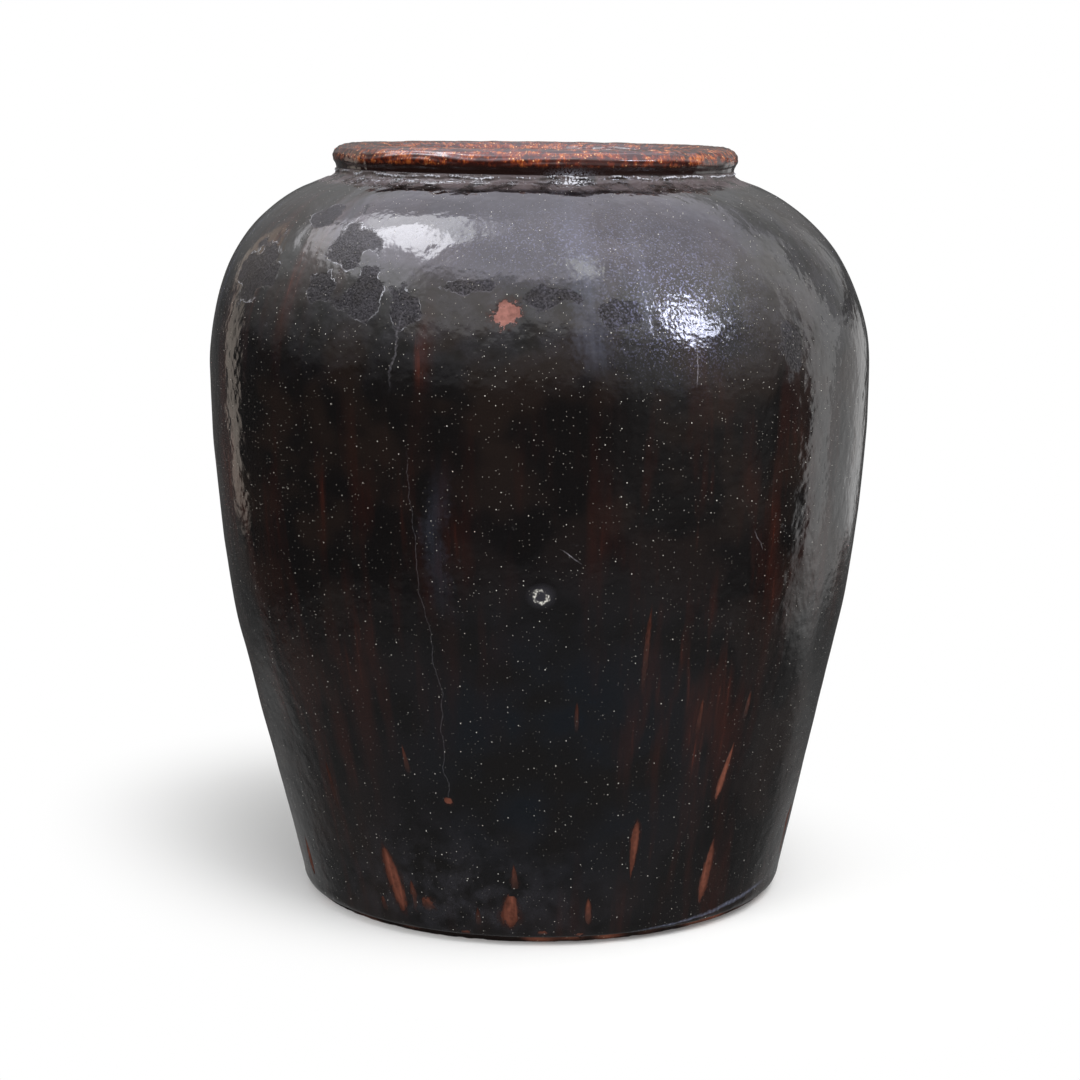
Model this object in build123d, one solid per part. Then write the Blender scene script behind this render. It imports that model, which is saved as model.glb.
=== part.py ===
from build123d import *
from math import acos, asin, atan2, cos, degrees, radians, sin, sqrt, tan
import os

# Large storage jar of stoneware, built up from thick clay coils on a slab, luted with slip,
# finished with a turned neck and a rolled lip, glazed dark outside and washed inside.
# Millimetres, +Z up, origin on the floor under the centre of the foot, front towards -Y.
# A section point is a pair: radius from the axis, height above the floor.

# Overall sizes of the finished jar
jar_height = 800.0
belly_radius = 351.8
mouth_radius = 175.0
lip_width = 40.5

# Curves of the outside, from the foot up, each one running smoothly into the next
foot_rounding = 20.0
flank_radius = 1402.8
belly_curve_radius = 258.9
shoulder_radius = 170.2
groove_radius = 10.0
lip_edge_radius = 11.0

# How far the groove lies in from the lip, and the lip's crown stands above its rounded edges
groove_depth = 3.7
lip_swell = 2.4

# Angles of the outside, in degrees: lean of the straight lower wall, and turn above the belly
wall_flare = 13.22
belly_turn = 23.75

# Clay of the floor
floor_thickness = 14.0
foot_hollow_depth = 3.0
foot_hollow_slope = 4.0
resting_ring_width = 36.0
corner_coil_radius = 20.0

# Clay of the wall: thicker at the foot than at the neck, with a low ridge inside each coil
foot_wall = 15.0
neck_wall = 11.0
coil_ridge = 1.5
throat_rounding = 5.0

# Joints between the courses: a bevelled lap filled with slip. The wall's seams lie at shares of
# the belly's height, the shoulder's at shares of the curve from there to the seam under the neck.
slip_thickness = 0.8
seam_bevel = 35.0
lip_seam_tilt = 12.0
neck_seam_gap = 3.2
wall_seam_shares = (0.067, 0.226, 0.3835, 0.538, 0.690, 0.8385, 0.9835)
shoulder_seam_shares = (0.2, 0.41, 0.61, 0.8)

# Coats
glaze_thickness = 1.0
wash_thickness = 0.6
glaze_end_angle = -30.0

# Bare clay windows in the dark glaze, as shares of the jar's height. A slash is a long pointed
# window: direction from the front in degrees, height of its middle, length, width and lean.
slash_shares = (
    (-33.8, 0.078, 0.084, 0.0160, 0.0140),
    (-6.1, 0.069, 0.080, 0.0100, 0.0000),
    (10.3, 0.046, 0.028, 0.0090, 0.0000),
    (19.3, 0.134, 0.068, 0.0090, 0.0015),
    (38.6, 0.082, 0.082, 0.0100, 0.0015),
    (38.5, 0.220, 0.075, 0.0075, -0.0110),
    (6.6, 0.312, 0.042, 0.0045, 0.0000),
    (74.0, 0.090, 0.070, 0.0110, 0.0040),
    (103.0, 0.155, 0.060, 0.0080, -0.0060),
    (131.0, 0.066, 0.074, 0.0120, 0.0030),
    (166.0, 0.110, 0.066, 0.0090, -0.0050),
    (197.0, 0.060, 0.058, 0.0110, 0.0020),
    (228.0, 0.185, 0.055, 0.0070, 0.0080),
    (262.0, 0.084, 0.078, 0.0120, -0.0030),
    (291.0, 0.064, 0.050, 0.0090, 0.0000),
)
# A chip is a rounded patch: direction from the front, height, width and tallness
chip_shares = (
    (-5.2, 0.8105, 0.0310, 0.0270),
    (-26.6, 0.0470, 0.0150, 0.0120),
    (118.0, 0.3300, 0.0160, 0.0190),
    (214.0, 0.5150, 0.0210, 0.0160),
)
# Corners of a chip round its middle, as shares of its half width and half height
chip_corner_shares = (
    (-0.35, 1.00),
    (0.45, 0.92),
    (1.00, 0.30),
    (0.80, -0.55),
    (0.10, -1.00),
    (-0.75, -0.70),
    (-1.00, 0.15),
)

# One overrun for every cut that passes right through
overrun = 8.0

# Angles that any circle has, in degrees
full_turn = 360.0
half_turn = 180.0
quarter_turn = 90.0


def polar(centre, radius, angle):
    """Section point at an angle on a circle; zero degrees points away from the axis."""
    across = centre[0] + radius * cos(radians(angle))
    up = centre[1] + radius * sin(radians(angle))
    return (across, up)


def bearing(start, end):
    """Angle in degrees of the direction from one section point to another."""
    return degrees(atan2(end[1] - start[1], end[0] - start[0]))


# Centres of the curves, worked out from the top of the lip down to the belly
lip_radius = mouth_radius + lip_width
neck_radius = lip_radius - groove_depth
crown_reach = lip_width / 2 - lip_edge_radius
crown_rise = lip_edge_radius + lip_swell
lip_crown_radius = (crown_reach ** 2 + crown_rise ** 2 - lip_edge_radius ** 2) / (2 * lip_swell)
crown_centre = (mouth_radius + lip_width / 2, jar_height - lip_crown_radius)
lip_edge_height = jar_height - crown_rise
lip_edge_centre = (lip_radius - lip_edge_radius, lip_edge_height)
mouth_edge_centre = (mouth_radius + lip_edge_radius, lip_edge_height)
groove_centre_radius = neck_radius + groove_radius
groove_drop = sqrt((lip_edge_radius + groove_radius) ** 2 - (groove_centre_radius - lip_edge_centre[0]) ** 2)
groove_centre = (groove_centre_radius, lip_edge_height - groove_drop)
shoulder_centre_radius = (
    belly_radius - belly_curve_radius + (belly_curve_radius - shoulder_radius) * cos(radians(belly_turn))
)
shoulder_reach = shoulder_radius + groove_radius
shoulder_drop = sqrt(shoulder_reach ** 2 - (groove_centre_radius - shoulder_centre_radius) ** 2)
shoulder_centre = (shoulder_centre_radius, groove_centre[1] - shoulder_drop)
belly_height = shoulder_centre[1] - (belly_curve_radius - shoulder_radius) * sin(radians(belly_turn))
belly_centre = (belly_radius - belly_curve_radius, belly_height)
flank_centre = (belly_radius - flank_radius, belly_height)
flank_foot = polar(flank_centre, flank_radius, -wall_flare)

# Angles at which the curves meet
shoulder_end = bearing(shoulder_centre, groove_centre)
lip_start = bearing(lip_edge_centre, groove_centre)
crown_start = bearing(crown_centre, lip_edge_centre)


def flank_at(height):
    """Radius of the glazed straight wall at a height."""
    return flank_foot[0] - (flank_foot[1] - height) * tan(radians(wall_flare))


def surface_at(height):
    """Section point of the glazed outside at a height, with the angle of its normal."""
    if height < flank_foot[1]:
        return (flank_at(height), height), -wall_flare
    for centre, radius, highest in (
        (flank_centre, flank_radius, belly_height),
        (belly_centre, belly_curve_radius, polar(belly_centre, belly_curve_radius, belly_turn)[1]),
        (shoulder_centre, shoulder_radius, shoulder_centre[1] + shoulder_radius),
    ):
        if height <= highest:
            angle = degrees(asin((height - centre[1]) / radius))
            return polar(centre, radius, angle), angle
    return polar(shoulder_centre, shoulder_radius, shoulder_end), shoulder_end


# Foot of the bare clay: the rounding touches the clay wall and the floor
clay_foot_centre = (
    flank_at(foot_rounding) - (glaze_thickness + foot_rounding) / cos(radians(wall_flare)),
    foot_rounding,
)
foot_hollow_radius = clay_foot_centre[0] - resting_ring_width
floor_top = foot_hollow_depth + floor_thickness

# Seams, from the foot up to the neck
neck_seam_angle = shoulder_end - degrees(neck_seam_gap / shoulder_radius)
neck_seam_height = polar(shoulder_centre, shoulder_radius, neck_seam_angle)[1]
wall_seams = [share * belly_height for share in wall_seam_shares]
belly_curve_length = belly_curve_radius * radians(belly_turn)
shoulder_length = belly_curve_length + shoulder_radius * radians(neck_seam_angle - belly_turn)


def shoulder_seam(share):
    """Height of a seam above the belly, at a share of the curve up to the seam under the neck."""
    along = share * shoulder_length
    if along < belly_curve_length:
        return polar(belly_centre, belly_curve_radius, degrees(along / belly_curve_radius))[1]
    turn = belly_turn + degrees((along - belly_curve_length) / shoulder_radius)
    return polar(shoulder_centre, shoulder_radius, turn)[1]


all_seams = wall_seams + [shoulder_seam(share) for share in shoulder_seam_shares] + [neck_seam_height]

# Throat: the clay under the lip turns from the inside of the shoulder up into the mouth
under_radius = shoulder_radius - glaze_thickness - neck_wall
throat_radius = mouth_radius + glaze_thickness + throat_rounding
throat_end = degrees(acos((throat_radius - shoulder_centre[0]) / under_radius))
throat_centre = (throat_radius, polar(shoulder_centre, under_radius, throat_end)[1] + throat_rounding)


def wall_at(height):
    """Depth from the glazed outside to the clay's inner face at a height."""
    share = min(1, height / neck_seam_height)
    return glaze_thickness + foot_wall + (neck_wall - foot_wall) * share


def place(point):
    """Section point as a point of the plane in which every section is drawn."""
    return Vector(point[0], 0, point[1])


def straight(start, end):
    """Straight edge between two section points."""
    return Edge.make_line(place(start), place(end))


def bow(start, middle, end):
    """Arc through three section points."""
    return Edge.make_three_point_arc(place(start), place(middle), place(end))


def curve(centre, radius, first, last):
    """Arc about a centre from one angle to another."""
    middle = (first + last) / 2
    return bow(polar(centre, radius, first), polar(centre, radius, middle), polar(centre, radius, last))


def area(edges):
    """Face closed by a list of edges."""
    return Face(Wire(edges))


def patch(points):
    """Face with straight sides through section points."""
    sides = [straight(start, end) for start, end in zip(points, points[1:] + points[:1])]
    return area(sides)


def lower_skin(depth, lowest):
    """Edges of the outside at a depth under the glaze, from a start point up to the groove."""
    start = polar(flank_centre, flank_radius - depth, -wall_flare)
    groove = groove_radius + depth
    return [
        straight(lowest, start),
        curve(flank_centre, flank_radius - depth, -wall_flare, 0),
        curve(belly_centre, belly_curve_radius - depth, 0, belly_turn),
        curve(shoulder_centre, shoulder_radius - depth, belly_turn, shoulder_end),
        curve(groove_centre, groove, shoulder_end + half_turn, half_turn),
    ]


def upper_skin(depth):
    """Edges of the outside at a depth, from the groove over the lip and down the mouth."""
    edge = lip_edge_radius - depth
    return [
        curve(groove_centre, groove_radius + depth, half_turn, lip_start + half_turn),
        curve(lip_edge_centre, edge, lip_start, crown_start),
        curve(crown_centre, lip_crown_radius - depth, crown_start, half_turn - crown_start),
        curve(mouth_edge_centre, edge, half_turn - crown_start, half_turn),
        straight((mouth_radius + depth, lip_edge_height), (mouth_radius + depth, throat_centre[1])),
    ]


def inner_stations(coat):
    """Heights on the outside that face the floor and the inner ends of the seams."""
    stations = [floor_top + coat - (wall_at(0) + coat) * sin(radians(wall_flare))]
    for height in all_seams:
        normal = surface_at(height)[1]
        stations.append(height - wall_at(height) * tan(radians(seam_bevel)) * cos(radians(normal)))
    return stations


def inner_point(height, coat, ridge):
    """Point of the inner face across from a height on the outside."""
    point, normal = surface_at(height)
    return polar(point, wall_at(height) + coat + ridge, normal + half_turn)


def inner_face(coat):
    """Edges of the inside, from the throat down to the floor, one arc for each coil."""
    stations = inner_stations(coat)
    top = inner_point(stations[-1], coat, 0)
    under = under_radius - coat
    first = bearing(shoulder_centre, top)
    edges = [
        curve(throat_centre, throat_rounding + coat, half_turn, half_turn + quarter_turn),
        bow(
            polar(throat_centre, throat_rounding + coat, half_turn + quarter_turn),
            polar(shoulder_centre, under, (first + throat_end) / 2),
            top,
        ),
    ]
    for upper, lower in zip(reversed(stations), reversed(stations[1:-1])):
        ridge = inner_point((upper + lower) / 2, coat, coil_ridge)
        edges.append(bow(inner_point(upper, coat, 0), ridge, inner_point(lower, coat, 0)))
    edges.append(straight(inner_point(stations[1], coat, 0), inner_point(stations[0], coat, 0)))
    return edges


def clay_section():
    """Face of all the clay: floor, wall, neck and lip."""
    foot_touch = polar(clay_foot_centre, foot_rounding, -wall_flare)
    wall_foot = inner_point(inner_stations(0)[0], 0, 0)
    underside = [
        straight((0, foot_hollow_depth), (foot_hollow_radius, foot_hollow_depth)),
        straight((foot_hollow_radius, foot_hollow_depth), (foot_hollow_radius + foot_hollow_slope, 0)),
        straight((foot_hollow_radius + foot_hollow_slope, 0), (clay_foot_centre[0], 0)),
        curve(clay_foot_centre, foot_rounding, -quarter_turn, -wall_flare),
    ]
    floor = [
        straight(wall_foot, (0, wall_foot[1])),
        straight((0, wall_foot[1]), (0, foot_hollow_depth)),
    ]
    outside = lower_skin(glaze_thickness, foot_touch) + upper_skin(glaze_thickness)
    return area(underside + outside + inner_face(0) + floor)


def seam_line(height, shift):
    """Outer and inner end of a seam across the wall, moved up along the wall by a shift."""
    point, normal = surface_at(height)
    angle = normal + seam_bevel
    middle = polar(point, shift, angle + quarter_turn)
    depth = wall_at(height) / cos(radians(seam_bevel))
    return polar(middle, overrun, angle), polar(middle, depth + overrun, angle + half_turn)


def lip_seam_line(shift):
    """Outer and inner end of the seam under the rolled lip, moved up by a shift."""
    joint = polar(lip_edge_centre, lip_edge_radius, lip_start)
    middle = polar(joint, shift, lip_seam_tilt + quarter_turn)
    depth = (joint[0] - mouth_radius) / cos(radians(lip_seam_tilt))
    return polar(middle, overrun, lip_seam_tilt), polar(middle, depth + overrun, lip_seam_tilt + half_turn)


def turned(face):
    """Solid of revolution of a section about the jar's axis."""
    return revolve(face, axis=Axis.Z, revolution_arc=full_turn)


def base_slab(clay):
    """Floor slab with its pinched-up, bevelled edge."""
    outer, inner = seam_line(all_seams[0], -slip_thickness / 2)
    region = patch([(0, -overrun), (outer[0], -overrun), outer, inner, (0, inner[1])])
    return turned(clay & region)


def corner(coat):
    """Face that a hollow coil, with its coat, fills between floor and wall, and more behind them."""
    wall_foot = inner_point(inner_stations(0)[0], 0, 0)
    lean = corner_coil_radius * tan(radians(wall_flare))
    reach = corner_coil_radius / cos(radians(wall_flare))
    centre = (wall_foot[0] + lean - reach, floor_top + corner_coil_radius)
    hollow = corner_coil_radius - coat
    touch = polar(centre, hollow, -wall_flare)
    back = (touch[0] + overrun, touch[1])
    below = floor_top - overrun
    return area([
        straight((centre[0], floor_top + coat), (centre[0], below)),
        straight((centre[0], below), (back[0], below)),
        straight((back[0], below), back),
        straight(back, touch),
        curve(centre, hollow, -wall_flare, -quarter_turn),
    ])


def corner_coil(clay):
    """Thin coil pressed into the corner between floor and wall."""
    return turned(corner(0) - clay)


def course(clay, lower, upper):
    """One coil of the wall, between the slip of the seam below and of the seam above."""
    low_outer, low_inner = seam_line(lower, slip_thickness / 2)
    high_outer, high_inner = seam_line(upper, -slip_thickness / 2)
    return turned(clay & patch([low_outer, low_inner, high_inner, high_outer]))


def neck_collar(clay):
    """Ring that closes the shoulder and carries the lip, with the groove outside."""
    low_outer, low_inner = seam_line(neck_seam_height, slip_thickness / 2)
    high_outer, high_inner = lip_seam_line(-slip_thickness / 2)
    under_mouth = (high_inner[0], low_inner[1])
    return turned(clay & patch([low_outer, low_inner, under_mouth, high_inner, high_outer]))


def rolled_lip(clay):
    """Heavy rounded lip on top of the collar."""
    outer, inner = lip_seam_line(slip_thickness / 2)
    top = jar_height + overrun
    return turned(clay & patch([outer, inner, (inner[0], top), (outer[0], top)]))


def luting_slip(clay):
    """Thin slanted rings of slip that join the courses, one solid for each seam."""
    strips = []
    for height in all_seams:
        low_outer, low_inner = seam_line(height, -slip_thickness / 2)
        high_outer, high_inner = seam_line(height, slip_thickness / 2)
        strips.append(patch([low_outer, low_inner, high_inner, high_outer]))
    low_outer, low_inner = lip_seam_line(-slip_thickness / 2)
    high_outer, high_inner = lip_seam_line(slip_thickness / 2)
    strips.append(patch([low_outer, low_inner, high_inner, high_outer]))
    return Compound(children=[turned(clay & strip).solid() for strip in strips])


def prism(edges, angle):
    """Cutter from the axis out through the front of the jar, turned about the axis by an angle."""
    cutter = extrude(area(edges), amount=belly_radius + overrun, dir=(0, -1, 0))
    return Rotation(0, 0, angle) * cutter


def slash_cutter(angle, height_share, length_share, width_share, lean_share):
    """Cutter of a long pointed window."""
    middle = height_share * jar_height
    half_length = length_share * jar_height / 2
    half_width = width_share * jar_height / 2
    lean = lean_share * jar_height / 2
    top = (-lean, middle + half_length)
    bottom = (lean, middle - half_length)
    return prism([bow(top, (half_width, middle), bottom), bow(bottom, (-half_width, middle), top)], angle)


def chip_cutter(angle, height_share, width_share, tall_share):
    """Cutter of a chip with uneven corners."""
    half_width = width_share * jar_height / 2
    half_height = tall_share * jar_height / 2
    middle = height_share * jar_height
    corners = [(x * half_width, middle + z * half_height) for x, z in chip_corner_shares]
    sides = [straight(start, end) for start, end in zip(corners, corners[1:] + corners[:1])]
    return prism(sides, angle)


def groove_step():
    """Edge across the glaze at the bottom of the groove, where the two coats meet."""
    inner = polar(groove_centre, groove_radius + glaze_thickness, half_turn)
    return straight(polar(groove_centre, groove_radius, half_turn), inner)


def body_glaze():
    """Dark coat on the outside, from the foot's rounding to the groove, with its bare windows."""
    glazed_rounding = foot_rounding + glaze_thickness
    outer = lower_skin(0, polar(clay_foot_centre, glazed_rounding, -wall_flare))
    inner = lower_skin(glaze_thickness, polar(clay_foot_centre, foot_rounding, -wall_flare))
    outer_end = polar(clay_foot_centre, glazed_rounding, glaze_end_angle)
    inner_end = polar(clay_foot_centre, foot_rounding, glaze_end_angle)
    foot = [
        curve(clay_foot_centre, foot_rounding, -wall_flare, glaze_end_angle),
        straight(inner_end, outer_end),
        curve(clay_foot_centre, glazed_rounding, glaze_end_angle, -wall_flare),
    ]
    coat = turned(area(outer + [groove_step()] + inner + foot))
    for slash in slash_shares:
        coat -= slash_cutter(*slash)
    for chip in chip_shares:
        coat -= chip_cutter(*chip)
    return coat


def lip_glaze():
    """Mottled coat over the lip, from the groove to the foot of the mouth."""
    end = straight((mouth_radius, throat_centre[1]), (mouth_radius + glaze_thickness, throat_centre[1]))
    return turned(area(upper_skin(0) + [end] + upper_skin(glaze_thickness) + [groove_step()]))


def cavity(coat):
    """Face of the space inside the jar, left by a coat of a given thickness."""
    foot = inner_point(inner_stations(coat)[0], coat, 0)
    top = (mouth_radius + glaze_thickness - coat, throat_centre[1])
    space = area(inner_face(coat) + [
        straight(foot, (0, foot[1])),
        straight((0, foot[1]), (0, top[1])),
        straight((0, top[1]), top),
    ])
    return space - corner(coat)


def inside_wash():
    """Thin wash on the floor, the inside of the wall and the throat."""
    return turned(cavity(0) - cavity(wash_thickness))


def main():
    """Build every piece and write it out."""
    clay = clay_section()
    pieces = {
        "base_slab": base_slab(clay),
        "corner_coil": corner_coil(clay),
        "neck_collar": neck_collar(clay),
        "rolled_lip": rolled_lip(clay),
        "luting_slip": luting_slip(clay),
        "body_glaze": body_glaze(),
        "lip_glaze": lip_glaze(),
        "inside_wash": inside_wash(),
    }
    for number, (lower, upper) in enumerate(zip(wall_seams, wall_seams[1:]), 1):
        pieces[f"wall_course_{number}"] = course(clay, lower, upper)
    shoulder = all_seams[len(wall_seams) - 1:]
    for number, (lower, upper) in enumerate(zip(shoulder, shoulder[1:]), 1):
        pieces[f"shoulder_course_{number}"] = course(clay, lower, upper)
    os.makedirs("parts", exist_ok=True)
    for name, shape in pieces.items():
        export_step(shape, f"parts/{name}.step")


main()
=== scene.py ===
import logging
import math
from dataclasses import dataclass
from enum import Enum
from functools import partial

import bpy
import numpy as np
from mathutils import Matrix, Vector


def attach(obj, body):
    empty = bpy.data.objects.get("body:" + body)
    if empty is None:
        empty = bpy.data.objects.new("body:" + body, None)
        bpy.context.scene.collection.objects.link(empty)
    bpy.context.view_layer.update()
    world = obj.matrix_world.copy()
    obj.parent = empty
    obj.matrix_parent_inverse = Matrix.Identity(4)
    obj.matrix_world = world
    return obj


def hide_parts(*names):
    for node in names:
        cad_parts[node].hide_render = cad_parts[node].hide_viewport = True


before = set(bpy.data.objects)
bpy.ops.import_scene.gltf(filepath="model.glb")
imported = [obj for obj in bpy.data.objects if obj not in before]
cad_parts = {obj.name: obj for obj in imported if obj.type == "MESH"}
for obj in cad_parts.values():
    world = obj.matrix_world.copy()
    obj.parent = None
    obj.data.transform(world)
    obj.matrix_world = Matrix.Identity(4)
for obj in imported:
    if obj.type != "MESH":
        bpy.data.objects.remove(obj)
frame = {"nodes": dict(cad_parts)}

# Large coil-built storage jar: dark glaze over stoneware, mottled lip, brown wash inside.
# Sections and features are worked out in millimetres; meshes are made in metres.
# Azimuth is in degrees from the front (-Y), positive to the right (+X).

log = logging.getLogger("storage_jar")
MM = 0.001
BODY = "root"


def linear(colour: str) -> tuple[float, float, float, float]:
    """Turn an sRGB hex colour into linear values.

    Args:
        colour: six hex digits after a hash.

    Returns:
        Red, green, blue and an opacity of one.
    """
    parts = [int(colour[i:i + 2], 16) / 255 for i in (1, 3, 5)]
    red, green, blue = [c / 12.92 if c <= 0.04045 else ((c + 0.055) / 1.055) ** 2.4 for c in parts]
    return red, green, blue, 1.0


def feed(tree: bpy.types.NodeTree, target: bpy.types.Node, inputs: dict) -> None:
    """Give inputs of a node, by name or number, their values or the outputs that feed them."""
    for key, value in inputs.items():
        if isinstance(value, bpy.types.NodeSocket):
            tree.links.new(value, target.inputs[key])
        else:
            target.inputs[key].default_value = value


def add(tree: bpy.types.NodeTree, kind: str, inputs: dict | None = None, **settings: object) -> bpy.types.Node:
    """Add a shader node with its settings and links.

    Args:
        tree: node tree of the material or world.
        kind: node type without its ShaderNode prefix.
        inputs: for an input's name or number, a value or the output that feeds it.
        settings: properties of the node.

    Returns:
        The new node.
    """
    made = tree.nodes.new("ShaderNode" + kind)
    for name, value in settings.items():
        setattr(made, name, value)
    feed(tree, made, inputs or {})
    return made


def ripple(points: np.ndarray, wavelength: float, seed: int, count: int = 26) -> np.ndarray:
    """Smooth random field over space, a sum of plane waves.

    Args:
        points: places in millimetres, one row each.
        wavelength: typical distance between crests in millimetres.
        seed: start of the random draws.
        count: number of waves.

    Returns:
        A value for each point, mostly between -1.5 and 1.5.
    """
    draws = np.random.default_rng(seed)
    ways = draws.normal(size=(count, 3))
    ways /= np.linalg.norm(ways, axis=1)[:, None]
    lengths = wavelength * draws.uniform(0.7, 1.5, count)
    phases = draws.uniform(0, math.tau, count)
    return np.sin(points @ (ways / lengths[:, None] * math.tau).T + phases).sum(axis=1) / math.sqrt(count / 2)


def smooth(value: np.ndarray, low: float, high: float) -> np.ndarray:
    """Soft step from 0 at one value to 1 at another, which may lie below it."""
    share = np.clip((value - low) / (np.asarray(high, float) - low), 0, 1)
    return share * share * (3 - 2 * share)


def polar(centre: tuple[float, float], radius: float, angle: float) -> tuple[float, float]:
    """Section point at an angle in degrees on a circle."""
    turn = math.radians(angle)
    return centre[0] + radius * math.cos(turn), centre[1] + radius * math.sin(turn)


def bearing(start: tuple[float, float], end: tuple[float, float]) -> float:
    """Angle in degrees of the way from one section point to another."""
    return math.degrees(math.atan2(end[1] - start[1], end[0] - start[0]))


def arc(centre: tuple[float, float], radius: float, first: float, last: float) -> list[tuple[float, float]]:
    """Points along an arc, about half a millimetre apart."""
    count = max(6, int(abs(math.radians(last - first)) * radius / 0.5))
    return [polar(centre, radius, first + (last - first) * i / count) for i in range(count + 1)]


def line(start: tuple[float, float], end: tuple[float, float]) -> list[tuple[float, float]]:
    """Points along a straight line, about half a millimetre apart."""
    count = max(2, int(math.dist(start, end) / 0.5))
    return [tuple(a + (b - a) * i / count for a, b in zip(start, end)) for i in range(count + 1)]


class Path:
    """Line of a turned section, walked with the clay on its left: radius, height and facing at each step."""

    def __init__(self, *runs: list[tuple[float, float]]) -> None:
        """Join runs of points end to end."""
        points = np.array([point for run in runs for point in run])
        keep = np.concatenate([[True], np.hypot(*np.diff(points, axis=0).T) > 1e-6])
        self.points = points[keep]
        steps = np.hypot(*np.diff(self.points, axis=0).T)
        self.along = np.concatenate([[0.0], np.cumsum(steps)])
        tangent = np.gradient(self.points, self.along, axis=0)
        tangent /= np.linalg.norm(tangent, axis=1)[:, None]
        self.facing = np.stack([tangent[:, 1], -tangent[:, 0]], axis=1)

    def at(self, stations: np.ndarray) -> tuple[np.ndarray, np.ndarray]:
        """Points and facings at distances along the line."""
        parts = [np.interp(stations, self.along, column) for column in (*self.points.T, *self.facing.T)]
        return np.stack(parts[:2], axis=1), np.stack(parts[2:], axis=1)


@dataclass(frozen=True)
class Section:
    """Section of the jar in millimetres, with the sizes of the solids."""

    jar_height: float = 800.0
    belly_radius: float = 351.8
    mouth_radius: float = 175.0
    lip_width: float = 40.5
    foot_rounding: float = 20.0
    flank_radius: float = 1402.8
    belly_curve_radius: float = 258.9
    shoulder_radius: float = 170.2
    groove_radius: float = 10.0
    lip_edge_radius: float = 11.0
    groove_depth: float = 3.7
    lip_swell: float = 2.4
    wall_flare: float = 13.22
    belly_turn: float = 23.75
    floor_thickness: float = 14.0
    foot_hollow_depth: float = 3.0
    foot_hollow_slope: float = 4.0
    resting_ring_width: float = 36.0
    corner_coil_radius: float = 20.0
    foot_wall: float = 15.0
    neck_wall: float = 11.0
    coil_ridge: float = 1.5
    throat_rounding: float = 5.0
    glaze_thickness: float = 1.0
    glaze_end_angle: float = -30.0
    base_seam_height: float = 37.9
    seam_bevel: float = 35.0
    coils: int = 12

    def __post_init__(self) -> None:
        """Work out the centres of the curves from the lip down to the foot."""
        put = partial(object.__setattr__, self)
        lip_radius = self.mouth_radius + self.lip_width
        reach = self.lip_width / 2 - self.lip_edge_radius
        rise = self.lip_edge_radius + self.lip_swell
        crown = (reach ** 2 + rise ** 2 - self.lip_edge_radius ** 2) / (2 * self.lip_swell)
        put("crown_radius", crown)
        put("crown_centre", (self.mouth_radius + self.lip_width / 2, self.jar_height - crown))
        put("lip_edge_height", self.jar_height - rise)
        put("lip_edge_centre", (lip_radius - self.lip_edge_radius, self.lip_edge_height))
        put("mouth_edge_centre", (self.mouth_radius + self.lip_edge_radius, self.lip_edge_height))
        groove_across = lip_radius - self.groove_depth + self.groove_radius
        touch = self.lip_edge_radius + self.groove_radius
        drop = math.sqrt(touch ** 2 - (groove_across - self.lip_edge_centre[0]) ** 2)
        put("groove_centre", (groove_across, self.lip_edge_height - drop))
        turn = math.radians(self.belly_turn)
        step = self.belly_curve_radius - self.shoulder_radius
        across = self.belly_radius - self.belly_curve_radius + step * math.cos(turn)
        fall = math.sqrt((self.shoulder_radius + self.groove_radius) ** 2 - (groove_across - across) ** 2)
        put("shoulder_centre", (across, self.groove_centre[1] - fall))
        put("belly_height", self.shoulder_centre[1] - step * math.sin(turn))
        put("belly_centre", (self.belly_radius - self.belly_curve_radius, self.belly_height))
        put("flank_centre", (self.belly_radius - self.flank_radius, self.belly_height))
        put("flank_foot", polar(self.flank_centre, self.flank_radius, -self.wall_flare))
        put("shoulder_end", bearing(self.shoulder_centre, self.groove_centre))
        put("lip_start", bearing(self.lip_edge_centre, self.groove_centre))
        put("crown_start", bearing(self.crown_centre, self.lip_edge_centre))
        reach = (self.glaze_thickness + self.foot_rounding) / math.cos(math.radians(self.wall_flare))
        put("foot_centre", (self.flank_at(self.foot_rounding) - reach, self.foot_rounding))
        put("floor_top", self.foot_hollow_depth + self.floor_thickness)
        put("under_radius", self.shoulder_radius - self.glaze_thickness - self.neck_wall)
        throat = self.mouth_radius + self.glaze_thickness + self.throat_rounding
        end = math.degrees(math.acos((throat - across) / self.under_radius))
        put("throat_end", end)
        put("throat_centre", (throat, polar(self.shoulder_centre, self.under_radius, end)[1] + self.throat_rounding))

    def flank_at(self, height: float) -> float:
        """Radius of the straight wall at a height."""
        return self.flank_foot[0] - (self.flank_foot[1] - height) * math.tan(math.radians(self.wall_flare))

    def outside(self, height: float) -> tuple[tuple[float, float], float]:
        """Point of the glazed outside at a height, with the angle that it faces."""
        if height < self.flank_foot[1]:
            return (self.flank_at(height), height), -self.wall_flare
        centre, radius = self.shoulder_centre, self.shoulder_radius
        if height <= self.belly_height:
            centre, radius = self.flank_centre, self.flank_radius
        elif height <= polar(self.belly_centre, self.belly_curve_radius, self.belly_turn)[1]:
            centre, radius = self.belly_centre, self.belly_curve_radius
        angle = math.degrees(math.asin(min(1.0, (height - centre[1]) / radius)))
        return polar(centre, radius, angle), angle

    def inner_point(self, height: float, coat: float, ridge: float) -> tuple[float, float]:
        """Point of the inside across the wall from a height on the outside."""
        point, angle = self.outside(height)
        wall = self.foot_wall + (self.neck_wall - self.foot_wall) * min(1.0, height / 764.0)
        return polar(point, self.glaze_thickness + wall + coat + ridge, angle + 180)

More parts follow.
